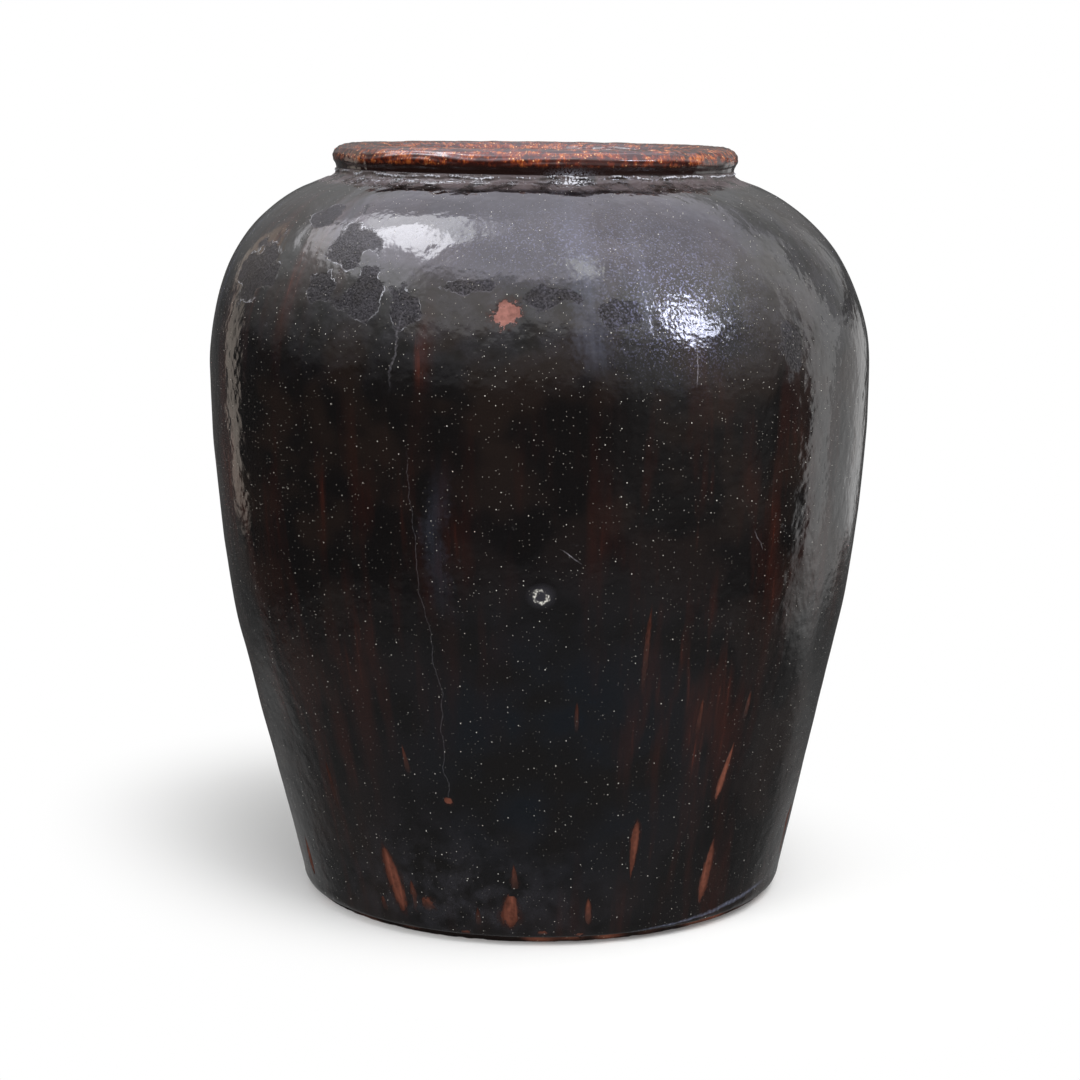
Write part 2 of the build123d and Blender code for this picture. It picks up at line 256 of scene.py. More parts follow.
    def body_path(self) -> Path:
        """Outside from the end of the glaze on the foot's rounding up to the groove."""
        rounding = self.foot_rounding + self.glaze_thickness
        return Path(
            arc(self.foot_centre, rounding, self.glaze_end_angle, -self.wall_flare),
            line(polar(self.foot_centre, rounding, -self.wall_flare), self.flank_foot),
            arc(self.flank_centre, self.flank_radius, -self.wall_flare, 0),
            arc(self.belly_centre, self.belly_curve_radius, 0, self.belly_turn),
            arc(self.shoulder_centre, self.shoulder_radius, self.belly_turn, self.shoulder_end),
            arc(self.groove_centre, self.groove_radius, self.shoulder_end + 180, 180),
        )

    def lip_path(self) -> Path:
        """From the groove over the lip and down the mouth."""
        return Path(
            arc(self.groove_centre, self.groove_radius, 180, self.lip_start + 180),
            arc(self.lip_edge_centre, self.lip_edge_radius, self.lip_start, self.crown_start),
            arc(self.crown_centre, self.crown_radius, self.crown_start, 180 - self.crown_start),
            arc(self.mouth_edge_centre, self.lip_edge_radius, 180 - self.crown_start, 180),
            line((self.mouth_radius, self.lip_edge_height), (self.mouth_radius, self.throat_centre[1])),
        )

    def inside_path(self, coat: float) -> Path:
        """From the throat down the ridged inside of the coils to the middle of the floor."""
        first = 70.0
        turn = self.throat_rounding + coat
        top = polar(self.shoulder_centre, self.under_radius - coat, first)
        highest = top[1] + (self.neck_wall + self.glaze_thickness) * math.sin(math.radians(first))
        lowest = self.floor_top + self.corner_coil_radius - 5
        heights = np.linspace(highest, lowest, 1500)
        beat = (highest - lowest) / (self.coils - 1)
        ridges = [self.coil_ridge * math.sin(math.pi * (highest - h) / beat) ** 2 for h in heights]
        wall = [self.inner_point(h, coat, ridge) for h, ridge in zip(heights, ridges)]
        bend = self.corner_coil_radius
        corner = (wall[-1][0] - bend * math.cos(math.radians(self.wall_flare)), self.floor_top + coat + bend)
        return Path(
            arc(self.throat_centre, turn, 180, 268),
            arc(self.shoulder_centre, self.under_radius - coat, self.throat_end, first),
            wall,
            arc(corner, bend, -self.wall_flare, -90),
            line((corner[0], self.floor_top + coat), (0.6, self.floor_top + coat)),
        )

    def foot_path(self) -> Path:
        """Floor slab, from the middle of the underside round its edge to the middle of its top."""
        hollow = self.foot_centre[0] - self.resting_ring_width
        base = self.outside(self.base_seam_height)[0]
        edge = polar(base, self.glaze_thickness, 180 - self.wall_flare)
        slope = self.seam_bevel - self.wall_flare + 180
        inner = polar(edge, self.foot_wall / math.cos(math.radians(self.seam_bevel)), slope)
        corner = (inner[0] - 5, self.floor_top)
        return Path(
            line((0.6, self.foot_hollow_depth), (hollow, self.foot_hollow_depth)),
            line((hollow, self.foot_hollow_depth), (hollow + self.foot_hollow_slope, 0)),
            line((hollow + self.foot_hollow_slope, 0), (self.foot_centre[0], 0)),
            arc(self.foot_centre, self.foot_rounding, -90, -self.wall_flare),
            line(polar(self.foot_centre, self.foot_rounding, -self.wall_flare), edge),
            line(edge, inner),
            line(inner, corner),
            line(corner, (0.6, self.floor_top)),
        )


@dataclass(frozen=True)
class HandmadeForm:
    """How the beaten coil body departs from a true turned form."""

    lean: tuple[tuple[float, float], ...] = (
        (0, 1.5), (100, 1.0), (200, 0.4), (300, -0.8), (430, -1.5), (575, -0.4), (680, -2.8), (740, -4.8),
        (800, -4.6),
    )
    rim_tilt: float = 0.65
    tilt_from: float = 600.0
    tilt_full: float = 765.0
    broad_wave: float = 190.0
    broad_height: float = 0.9
    paddle_wave: float = 85.0
    paddle_height: float = 0.28
    quiet_below: float = 30.0

    def bend(self, points: np.ndarray) -> np.ndarray:
        """Lean, tilt and wave a set of points.

        Args:
            points: places on the true form in millimetres, one row each.

        Returns:
            The places on the handmade jar.
        """
        bent = points.copy()
        table = np.arange(-60.0, 870.0, 10.0)
        heights, shifts = zip(*self.lean)
        soft = np.convolve(np.pad(np.interp(table, heights, shifts), 4, mode="edge"), np.ones(9) / 9, mode="valid")
        bent[:, 0] += np.interp(points[:, 2], table, soft)
        rise = smooth(points[:, 2], self.tilt_from, self.tilt_full)
        bent[:, 2] -= points[:, 0] * math.tan(math.radians(self.rim_tilt)) * rise
        radius = np.maximum(np.hypot(points[:, 0], points[:, 1]), 1.0)
        around = points / radius[:, None] * 300.0
        around[:, 2] = points[:, 2]
        push = self.broad_height * ripple(around, self.broad_wave, 11)
        push += self.paddle_height * ripple(around, self.paddle_wave, 12)
        push *= smooth(points[:, 2], self.quiet_below, self.quiet_below + 120) * smooth(radius, 60, 200)
        bent[:, 0] += push * points[:, 0] / radius
        bent[:, 1] += push * points[:, 1] / radius
        return bent


class MarkShape(Enum):
    """Outline of a bare window in the glaze."""

    SLASH = 0.0
    CHIP = 1.0


@dataclass(frozen=True)
class Mark:
    """Bare or thin place in the glaze; sizes in millimetres.

    Its tone runs from dark brown at 0 to pale clay at 1, and its flare is how much wider it is at its foot.
    """

    shape: MarkShape
    azimuth: float
    height: float
    tall: float
    wide: float
    lean: float = 0.0
    tone: float = 0.6
    depth: float = 0.7
    flare: float = 0.3


@dataclass(frozen=True)
class Line:
    """Thin line in or on the glaze, through places given by azimuth and height."""

    places: tuple[tuple[float, float], ...]
    width: float
    strength: float
    fade: float = 0.06
    wander: float = 0.8


# Azimuth, height, size along and across, lean over its length, tone, depth and flare
SLASHES = tuple(Mark(MarkShape.SLASH, *sizes) for sizes in (
    (-33.6, 61.0, 74, 17.0, 13.5, 0.62, 0.7, 0.15),
    (-29.0, 44.0, 40, 9.0, 3.0, 0.28, 0.3, 0.5),
    (-6.6, 43.0, 44, 16.0, -3.0, 0.60, 0.7, 0.72),
    (-5.6, 74.0, 34, 7.0, 1.0, 0.34, 0.3, 0.5),
    (10.3, 37.8, 30, 6.4, 1.0, 0.47, 0.6, 0.3),
    (19.3, 104.0, 62, 8.0, -1.2, 0.62, 0.7, -0.62),
    (38.6, 65.6, 68, 11.5, -4.5, 0.62, 0.7, 0.22),
    (38.9, 176.0, 62, 8.6, -12.5, 0.70, 0.5, 0.5),
    (6.6, 249.6, 34, 3.8, 0.0, 0.22, 0.3, 0.3),
    (30.4, 241.0, 44, 5.0, -2.0, 0.26, 0.3, 0.4),
    (41.9, 244.0, 34, 5.4, -3.0, 0.24, 0.3, 0.2),
    (18.6, 311.0, 96, 5.6, -5.0, 0.16, 0.2, 0.1),
    (-26.4, 197.0, 34, 5.0, 3.0, 0.36, 0.3, 0.6),
    (-37.8, 30.0, 20, 6.0, 2.0, 0.26, 0.3, 0.4),
    (-14.0, 30.0, 22, 5.0, 0.0, 0.22, 0.2, 0.6),
    (-47.0, 150.0, 60, 6.0, 6.0, 0.10, 0.1, 0.3),
    (74.0, 72.0, 60, 11.0, 3.2, 0.62, 0.7, -0.3),
    (86.0, 210.0, 54, 6.0, -5.0, 0.28, 0.3, 0.3),
    (103.0, 124.0, 50, 7.6, -4.8, 0.60, 0.7, 0.4),
    (131.0, 48.0, 52, 14.0, 2.4, 0.64, 0.7, 0.7),
    (148.0, 190.0, 60, 6.0, 4.0, 0.28, 0.3, 0.2),
    (166.0, 88.0, 58, 8.6, -4.0, 0.60, 0.7, -0.3),
    (197.0, 44.0, 44, 13.0, 1.6, 0.62, 0.7, 0.65),
    (210.0, 262.0, 70, 5.0, -4.0, 0.22, 0.3, 0.2),
    (228.0, 148.0, 50, 7.0, 6.4, 0.58, 0.6, 0.3),
    (262.0, 67.2, 66, 12.0, -2.4, 0.64, 0.7, -0.35),
    (276.0, 205.0, 46, 6.0, 5.0, 0.26, 0.3, 0.3),
    (293.0, 51.2, 44, 9.0, 0.0, 0.60, 0.6, 0.5),
))

CHIPS = tuple(Mark(MarkShape.CHIP, *sizes) for sizes in (
    (-5.2, 648.4, 22.0, 25.5, -5.0, 1.0, 0.8),
    (-26.0, 37.6, 16.0, 17.0, 0.0, 0.30, 0.4),
    (-18.4, 157.0, 8.0, 7.4, 0.0, 0.55, 0.4),
    (0.3, 15.0, 4.0, 9.0, 0.0, 0.40, 0.3),
    (8.6, 12.5, 4.0, 8.0, 0.0, 0.45, 0.3),
    (-17.0, 12.0, 4.0, 8.0, 0.0, 0.40, 0.3),
    (118.0, 264.0, 15.2, 12.8, 3.0, 0.9, 0.7),
    (214.0, 412.0, 13.0, 16.8, -4.0, 0.95, 0.7),
    (262.0, 560.0, 9.0, 12.0, 0.0, 0.9, 0.6),
))


class Marking(Enum):
    """Names of the fields that the meshes carry for their finishes, each of three parts.

    Flow: place along the pour. Window: across, up and nearness in a mark; its kind: shape, tone, flare.
    Crack: distance off the line, misty zone, strength. Run: the same with the neck zone, whose thin glaze is drawn
    pale as painted light in the lip's shade.
    Pock: across, up and nearness at the burst bubble. Zones: rust (on the lip, its painted lit top over painted shade
    beneath; on the foot, painted shade at its edge), torn skin and crust (also pale painted highlights on the crests
    under the lip). More zones: blue cast, satin low down and bluish crystal grains (with a painted glow about the
    glare).
    """

    FLOW = "flow"
    WINDOW = "window"
    WINDOW_KIND = "window_kind"
    CRACK = "crack"
    RUN = "run"
    POCK = "pock"
    ZONES = "zones"
    MORE_ZONES = "more_zones"


@dataclass
class TurnedSkin:
    """Closed coat turned about the axis: a fine outer face, and a coarser inner face behind it.

    The backing gives the stations of the inner face, close enough that it stays behind curves and recesses.
    """

    name: str
    path: Path
    stations: np.ndarray
    azimuths: np.ndarray
    form: HandmadeForm
    thickness: float = 0.0
    backing: np.ndarray | None = None
    flow_radius: float = 300.0

    def __post_init__(self) -> None:
        """Work out the places of the grid: rows along the section, columns round the jar."""
        self.points, self.facing = self.path.at(self.stations)
        turn = np.radians(self.azimuths)[None, :]
        self.height = self.points[:, 1:] + 0 * turn
        along = self.stations[:, None] + 0 * turn
        across, back = (self.flow_radius * part + 0 * along for part in (np.sin(turn), -np.cos(turn)))
        self.flow = np.stack([across, back, along], axis=2) * MM

    def waves(self, size: float, seed: int) -> np.ndarray:
        """Smooth random field over the grid, of a size in millimetres, with no seam."""
        return ripple(self.flow.reshape(-1, 3) / MM, size, seed).reshape(self.height.shape)

    def place(self, stations: np.ndarray, depth: np.ndarray | float) -> np.ndarray:
        """Places of rows of points, pushed in by a depth, on the true form in millimetres."""
        points, facing = self.path.at(stations)
        turn = np.radians(self.azimuths)[None, :]
        radius = points[:, :1] - facing[:, :1] * depth
        height = points[:, 1:] - facing[:, 1:] * depth + 0 * turn
        return np.stack([radius * np.sin(turn), -radius * np.cos(turn), height], axis=2)

    def build(self, relief: np.ndarray, fields: dict[Marking, np.ndarray]) -> bpy.types.Object:
        """Make the mesh.

        Args:
            relief: how far each outer point stands proud, in millimetres, rows by columns.
            fields: values that the finish reads, rows by columns by three.

        Returns:
            The piece, riding on the jar's body.
        """
        outer = self.place(self.stations, -relief)
        rows = [outer]
        closed = self.backing is not None
        if closed:
            rows.append(self.place(self.backing[::-1], self.thickness))
        grid = np.concatenate(rows)
        count, columns = grid.shape[:2]
        bent = self.form.bend(grid.reshape(-1, 3)) * MM
        index = np.arange(count * columns).reshape(count, columns)
        loops = np.vstack([index, index[:1]]) if closed else index
        after = np.roll(loops, -1, axis=1)
        faces = np.stack([loops[:-1], after[:-1], after[1:], loops[1:]], axis=2).reshape(-1, 4)
        mesh = bpy.data.meshes.new(self.name)
        mesh.from_pydata(bent.tolist(), [], faces.tolist())
        for key, values in fields.items():
            full = np.zeros((count, columns, 3), np.float32)
            full[:len(outer)] = values
            mesh.attributes.new(key.value, "FLOAT_VECTOR", "POINT").data.foreach_set("vector", full.ravel())
        mesh.shade_smooth()
        piece = bpy.data.objects.new(self.name, mesh)
        bpy.context.scene.collection.objects.link(piece)
        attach(piece, BODY)
        return piece


def wide_from(azimuths: np.ndarray, middle: float) -> np.ndarray:
    """Turn from a direction to each azimuth, between -180 and 180 degrees."""
    return (azimuths - middle + 180) % 360 - 180


def mark_fields(skin: TurnedSkin, marks: tuple[Mark, ...]) -> tuple[np.ndarray, np.ndarray, np.ndarray]:
    """Work out where each point lies in its nearest mark.

    Args:
        skin: coat that carries the marks.
        marks: windows in the coat.

    Returns:
        Across, up and nearness in the nearest mark; its shape, tone and flare; and the depth of the recess.
    """
    points = skin.points
    nearest = np.full((len(points), len(skin.azimuths)), np.inf)
    window = np.zeros((*nearest.shape, 3))
    kind = np.zeros_like(window)
    recess = np.zeros_like(nearest)
    owner = np.full(nearest.shape, -1)
    for number, mark in enumerate(marks):
        turn = np.radians(wide_from(skin.azimuths, mark.azimuth))[None, :]
        up = (points[:, 1:] - mark.height) / (mark.tall / 2) + 0 * turn
        across = (points[:, :1] * np.sin(turn) + mark.lean / 2 * up) / (mark.wide / 2)
        reach = 1.35 if mark.shape is MarkShape.SLASH else 1.9
        far = np.maximum(np.abs(across) / 3, np.abs(up) / reach) + 9 * (np.cos(turn) < 0.5)
        closer = far < nearest
        nearest = np.where(closer, far, nearest)
        owner = np.where(closer, number, owner)
        near = (far < 1).astype(float)
        here = np.stack([across, up, near], axis=2)
        window = np.where(closer[..., None], here, window)
        kind = np.where(closer[..., None], (mark.shape.value, mark.tone, mark.flare), kind)
        lens = np.abs(across) / (1 - mark.flare * np.clip(up, -1, 1)) + np.abs(up) ** 3
        inside = lens if mark.shape is MarkShape.SLASH else np.hypot(across, up)
        recess += mark.depth * smooth(inside, 1.1, 0.8) * near
    # No window is drawn across the border between two marks, where their coordinates would blend
    upward = np.diff(owner, axis=0) != 0
    around = owner != np.roll(owner, 1, axis=1)
    border = around | np.roll(around, -1, axis=1)
    border[1:] |= upward
    border[:-1] |= upward
    window[border, 2] = 0
    return window, kind, recess


def line_field(skin: TurnedSkin, lines: tuple[Line, ...], guard: float) -> np.ndarray:
    """Distance across the nearest line in its own widths, share along it, and its strength nearby."""
    points = skin.points
    best = np.full((len(points), len(skin.azimuths)), np.inf)
    result = np.zeros((*best.shape, 3))
    for item in lines:
        azimuths, heights = np.array(item.places).T
        order = np.argsort(heights)
        middle = np.interp(points[:, 1], heights[order], azimuths[order])[:, None]
        middle = middle + item.wander / 3.5 * ripple(points[:, 1:] * np.ones(3), 42.0, len(item.places))[:, None]
        share = (points[:, 1:] - heights.min()) / (heights.max() - heights.min()) + 0 * skin.azimuths[None, :]
        turn = np.radians(wide_from(skin.azimuths[None, :], middle))
        across = points[:, :1] * np.sin(turn) / item.width
        far = np.abs(across) + 99 * ((share < -0.05) | (share > 1.05) | (np.cos(turn) < 0.5))
        closer = far < best
        best = np.where(closer, far, best)
        strength = item.strength * (far < guard) * smooth(share, 0, item.fade) * smooth(share, 1, 1 - item.fade)
        here = np.stack([across, share, strength], axis=2)
        result = np.where(closer[..., None], here, result)
    return result


def spot(skin: TurnedSkin, azimuth: float, height: float, wide: float, tall: float) -> np.ndarray:
    """Soft round patch on a coat, 1 in its middle; sizes in millimetres."""
    points = skin.points
    turn = np.radians(wide_from(skin.azimuths, azimuth))[None, :]
    across = points[:, :1] * 2 * np.sin(turn / 2) / wide
    up = (points[:, 1:] - height) / tall
    return np.exp(-(across ** 2 + up ** 2))


def spots(skin: TurnedSkin, rows: tuple[tuple[float, ...], ...]) -> np.ndarray:
    """Highest of several soft patches, each given by azimuth, height, two sizes and its strength."""
    return np.maximum.reduce([strength * spot(skin, *place) for *place, strength in rows])


# Finishes: each starts from what the real surface is and how it was made


def empty_material(name: str) -> tuple[bpy.types.Material, bpy.types.NodeTree]:
    """New material with an empty node tree."""
    made = bpy.data.materials.new(name)
    made.use_nodes = True
    made.node_tree.nodes.clear()
    return made, made.node_tree


class Recipe:
    """Material being built: its nodes, and their results by name for the rows that follow."""

    def __init__(self, name: str) -> None:
        """Start a material with a Principled shader."""
        self.material, self.tree = empty_material(name)
        self.node = partial(add, self.tree)
        self.shader = self.node("BsdfPrincipled")
        self.node("OutputMaterial", {"Surface": self.shader.outputs[0]})
        self.place = self.node("TexCoord").outputs["Object"]
        self.known: dict[str, bpy.types.NodeSocket] = {}

    def carry(self, marking: Marking, *names: str) -> None:
        """Read a field of the mesh and name its three parts."""
        vector = self.node("Attribute", attribute_name=marking.value).outputs["Vector"]
        self.known.update(zip(names, self.node("SeparateXYZ", {0: vector}).outputs))

    def noise(self, **sizes: tuple[float, float]) -> None:
        """Name noise over space: for each name its size in millimetres and its detail."""
        for name, (size, detail) in sizes.items():
            made = self.node("TexNoise", {"Vector": self.place, "Scale": 1 / (size * MM), "Detail": detail})
            self.known[name] = made.outputs[0]

    def pour(self, **sizes: tuple[float, float, float]) -> None:
        """Name noise drawn out along the pour: for each name its width and length in millimetres and its detail."""
        flow = self.node("Attribute", attribute_name=Marking.FLOW.value).outputs["Vector"]
        for name, (wide, tall, detail) in sizes.items():
            scale = (1 / (wide * MM), 1 / (wide * MM), 1 / (tall * MM))
            stretched = self.node("Mapping", {"Vector": flow, "Scale": scale}).outputs[0]
            made = self.node("TexNoise", {"Vector": stretched, "Scale": 1.0, "Detail": detail})
            self.known[name] = made.outputs[0]

    def cells(self, name: str, size: float, luck: str = "") -> None:
        """Name cells of a size in millimetres: the distance from each one's grain, and its luck from 0 to 1."""
        made = self.node("TexVoronoi", {"Vector": self.place, "Scale": 1 / (size * MM)}).outputs
        self.known[name] = made["Distance"]
        if luck:
            self.known[luck] = self.node("SeparateColor", {0: made["Color"]}).outputs[0]

    def length(self, name: str, across: str, up: str) -> None:
        """Name the distance from the middle of a mark, from its two coordinates."""
        flat = self.node("CombineXYZ", {0: self.known[across], 1: self.known[up]}).outputs[0]
        self.known[name] = self.node("VectorMath", {0: flat}, operation="LENGTH").outputs[1]

    def work(self, *rows: tuple) -> None:
        """Work out rows of values.

        Args:
            rows: for each, its name, an operation, and its numbers or the names of earlier results. The
                ramps LINEAR and SMOOTHSTEP take a value, where they begin and end, and the two results.
                TIMES limits a result by one share after another.
        """
        for name, operation, *values in rows:
            values = [self.known[value] if isinstance(value, str) else value for value in values]
            if operation == "TIMES":
                result = self.known[name]
                for value in values:
                    result = self.node("Math", {0: result, 1: value}, operation="MULTIPLY").outputs[0]
            elif operation in ("LINEAR", "SMOOTHSTEP"):
                inputs = dict(zip(("Value", "From Min", "From Max", "To Min", "To Max"), values))
                result = self.node("MapRange", inputs, interpolation_type=operation).outputs[0]
            elif operation == "MIX":
                result = self.node("Mix", dict(zip((0, 2, 3), values)), data_type="FLOAT").outputs[0]
            else:
                result = self.node("Math", dict(enumerate(values)), operation=operation).outputs[0]
            self.known[name] = result

    def colour(self, base: str, *layers: tuple) -> bpy.types.NodeSocket:
        """Lay colours over a base, each by the name of its share."""
        under = linear(base)
        for share, upper in layers:
            upper = linear(upper) if isinstance(upper, str) else upper
            under = self.node("Mix", {0: self.known[share], 6: under, 7: upper}, data_type="RGBA").outputs[2]
        return under

    def scaled(self, colour: bpy.types.NodeSocket, by: str) -> bpy.types.NodeSocket:
        """Make a colour lighter or darker by a named result."""
        return self.node("VectorMath", {0: colour, "Scale": self.known[by]}, operation="SCALE").outputs[0]

    def value(self, base: object, *layers: tuple[str, float]) -> bpy.types.NodeSocket:
        """Lay plain values over a base, each by the name of its share."""
        for share, upper in layers:
            base = self.node("Mix", {0: self.known[share], 2: base, 3: upper}, data_type="FLOAT").outputs[0]
        return base

    def bump(self, *layers: tuple[str, float]) -> bpy.types.NodeSocket:
        """Bump of named results, each with its height in millimetres."""
        height = 0.0
        for name, rise in layers:
            inputs = {0: self.known[name], 1: rise * MM, 2: height}
            height = self.node("Math", inputs, operation="MULTIPLY_ADD").outputs[0]
        return self.node("Bump", {"Strength": 1.0, "Distance": 1.0, "Height": height}).outputs[0]

    def done(self, inputs: dict) -> bpy.types.Material:
        """Feed the shader and hand over the material."""
        feed(self.tree, self.shader, inputs)
        return self.material


@dataclass(frozen=True)
class DarkGlaze:
    """Iron glaze, poured on and fired black-brown.

    The eye gets a wet gloss broken by a hammered surface, rust runs that follow the pour, white salt
    specks, a blue-black cast low down and matte bare clay where a finger or tool wiped the glaze off.
    """

    name: str = "iron_glaze_black_brown"
    ground: str = "#0e0c0c"
    umber: str = "#1b1411"
    blue_black: str = "#0b1016"
    rust: str = "#33150e"
    bright_rust: str = "#6a3020"
    milk: str = "#6c7186"
    # Bluish grains, and the painted glow about the glare
    bloom: str = "#76789a"
    salt: str = "#e2dfd6"
    faint_salt: str = "#8f8a82"
    hairline: str = "#77747a"
    torn: str = "#100e0e"
    torn_crumb: str = "#474446"
    mist: str = "#4a4952"
    # Also the colour of the painted glint along the torn edges
    crust: str = "#c3c4cc"
    thin_brown: str = "#2b1611"
    # Pale thin glaze at the neck, partly painted light for the shaded groove
    thin_neck_and_painted_light: str = "#4b413f"
    clay: str = "#744537"
    pale_clay: str = "#956860"
    ior: float = 1.52
    gloss: float = 0.055
    satin: float = 0.20
    streak: tuple[float, float] = (24.0, 170.0)
    fine_streak: tuple[float, float] = (5.0, 80.0)
    hammer_size: float = 15.0
    hammer_height: float = 0.80
    dapple_size: float = 5.5
    dapple_height: float = 0.15
    peel_size: float = 2.6
    peel_height: float = 0.030
    speck_cell: float = 5.2
    dust_cell: float = 3.2

    def windows(self, mix: Recipe) -> None:
        """Bare windows: a pointed lens or a rounded chip, with ragged edges and a thin brown halo."""
        mix.length("disc", "across", "up")
        mix.work(
            ("size", "ABSOLUTE", "across"),
            ("narrow", "MULTIPLY", "up", "flare"),
            ("narrow", "SUBTRACT", 1.0, "narrow"),
            ("narrow", "MAXIMUM", "narrow", 0.12),
            ("size", "DIVIDE", "size", "narrow"),
            ("tip", "ABSOLUTE", "up"),
            ("tip", "POWER", "tip", 3.0),
            ("lens", "ADD", "tip", "size"),
            ("shape", "MIX", "roundness", "lens", "disc"),
            ("ragged", "MULTIPLY_ADD", "roundness", 1.1, 0.9),
            ("shape", "MULTIPLY_ADD", "wobble", "ragged", "shape"),
            ("drift", "SUBTRACT", "fine_streak", 0.5),
            ("shape", "MULTIPLY_ADD", "drift", 1.0, "shape"),
            ("near", "GREATER_THAN", "near", 0.98),
            ("fade", "LINEAR", "up", -0.9, 0.7),
            ("faint", "LINEAR", "tone", 0.58, 0.36),
            ("fade", "MIX", "faint", 1.0, "fade"),
            ("bare", "LINEAR", "shape", 1.05, 0.88),
            ("bare", "TIMES", "near", "fade"),
            ("halo", "LINEAR", "shape", 1.55, 0.95, 0.0, 0.75),
            ("halo", "TIMES", "near", "fade"),
            ("core", "LINEAR", "shape", 1.0, 0.45, 0.35, 1.0),
            ("drawn", "LINEAR", "fine_streak", 0.35, 0.55, 0.45, 1.0),
            ("fired", "MULTIPLY", "core", "drawn"),
            ("fired", "MAXIMUM", "fired", "roundness"),
            ("fired", "TIMES", "tone", 1.5),
            ("paler", "LINEAR", "tone", 0.75, 1.0),
            ("soil", "LINEAR", "edge", 0.3, 0.7, 0.55, 1.15),
        )

    def lines(self, mix: Recipe) -> None:
        """Hairlines that wander about their course, and milky runs, soft across and broken along the pour."""
        mix.work(
            ("hair", "MULTIPLY_ADD", "wobble", 4.0, "crack_off"),
            ("hair", "ABSOLUTE", "hair"),
            ("hair", "LINEAR", "hair", 1.0, 0.3),
            ("chipped", "LINEAR", "fleck", 0.35, 0.6, 0.35, 1.3),
            ("hair", "TIMES", "crack_strength", "chipped"),
            ("milk", "MULTIPLY_ADD", "wobble", 1.4, "run_off"),
            ("milk", "ABSOLUTE", "milk"),
            ("milk", "SMOOTHSTEP", "milk", 1.0, 0.0),
            ("milk", "TIMES", "run_strength", "fine_streak"),
        )

    def bubble(self, mix: Recipe) -> None:
        """Burst bubble: a pale broken ring in a faint haze, with one gap."""
        mix.length("ring", "pock_x", "pock_y")
        mix.work(
            ("haze", "LINEAR", "ring", 1.9, 0.6, 0.0, 0.3),
            ("haze", "TIMES", "near_pock"),
            ("ring", "MULTIPLY_ADD", "wobble", 0.9, "ring"),
            ("ring", "SUBTRACT", "ring", 0.85),
            ("ring", "ABSOLUTE", "ring"),
            ("ring", "LINEAR", "ring", 0.28, 0.04),
            ("grains", "LINEAR", "fleck", 0.45, 0.60, 0.12, 0.95),
            ("side", "MAXIMUM", "pock_x", 0.0),
            ("side", "TIMES", "pock_y"),
            ("gap", "LINEAR", "side", 0.17, 0.08),
            ("ring", "TIMES", "grains", "gap", "near_pock"),
        )

    def specks(self, mix: Recipe) -> None:
        """Salt grains of two sizes, each cell with its own, drawn a little coarser than real ones to show."""
        for name, cell, rare, largest in (
            ("speck", self.speck_cell, 0.55, 0.115), ("dust", self.dust_cell, 0.35, 0.155),
        ):
            mix.cells("cell", cell, "luck")
            mix.work(
                (name, "LINEAR", "luck", rare, 1.0),
                (name, "POWER", name, 0.5),
                (name, "MULTIPLY", name, largest),
                (name, "SUBTRACT", name, "cell"),
                (name, "LINEAR", name, 0.0, 0.03),
            )
        # The fine dust thins out low down
        mix.work(("settled", "LINEAR", "low_zone", 0.0, 1.0, 1.0, 0.5), ("dust", "TIMES", "settled"))

    def stains(self, mix: Recipe) -> None:
        """Shares of umber, blue, rust, bluish grains with a painted glow, crust with painted highlights on the
        crests, mist, thin glaze drawn pale as painted light at the neck, torn skin and a painted glint along its
        edges, each in its own zone.
        """
        mix.work(
            ("umber", "SMOOTHSTEP", "cloud", 0.42, 0.62),
            ("blue", "SMOOTHSTEP", "cloud", 0.35, 0.60),
            ("blue", "TIMES", "blue_zone"),
            ("rust", "SMOOTHSTEP", "streak", 0.46, 0.72),
            ("rust", "TIMES", "rust_zone"),
            ("bright", "SMOOTHSTEP", "fine_streak", 0.56, 0.76),
            ("bright", "TIMES", "rust_zone", "rust"),
            ("bloom", "SMOOTHSTEP", "fleck", 0.52, 0.68),
            ("bloom", "TIMES", "bloom_zone"),
            # The crust share also carries the pale painted highlight along the crests under the lip
            ("crust", "MULTIPLY_ADD", "crust_zone", 0.42, "fleck"),
            ("crust", "SMOOTHSTEP", "crust", 0.70, 0.88),
            ("crusted", "LINEAR", "crust_zone", 0.0, 0.2),
            ("crust", "TIMES", "crusted"),
            ("mist", "LINEAR", "patch", 0.40, 0.60, 0.0, 0.38),
            ("mist", "TIMES", "fleck", "mist_zone"),
            # Partly painted light: the thin glaze at the neck is drawn pale to stand in for light in the groove that
            # the lip shades
            ("thin", "LINEAR", "patch", 0.38, 0.56, 0.1, 1.0),
            ("thin", "TIMES", "neck_zone"),
            ("wear", "MULTIPLY_ADD", "matte_zone", 0.6, "patch"),
            ("matte", "SMOOTHSTEP", "wear", 0.70, 0.80),
            # Painted highlight: a pale glint along the edges of the torn patches, kept to the left shoulder where the
            # bright window is mirrored
            ("rim", "SUBTRACT", "wear", 0.73),
            ("rim", "ABSOLUTE", "rim"),
            ("rim", "LINEAR", "rim", 0.020, 0.004, 0.0, 0.8),
            ("west", "LINEAR", "side_to_side", -0.075, -0.110),
            ("chalky", "LINEAR", "hammer", 0.48, 0.60),
            ("inner", "LINEAR", "matte_zone", 0.25, 0.45),
            ("rim", "TIMES", "west", "chalky", "inner"),
            ("crumbs", "LINEAR", "fleck", 0.40, 0.62),
            ("crumbs", "TIMES", "cloud"),
            ("wrinkled", "MULTIPLY", "dapple", "bloom_zone"),
            ("torn_bits", "MULTIPLY", "fleck", "matte"),
            ("rough", "LINEAR", "patch", 0.3, 0.7, self.gloss, self.gloss + 0.06),
        )

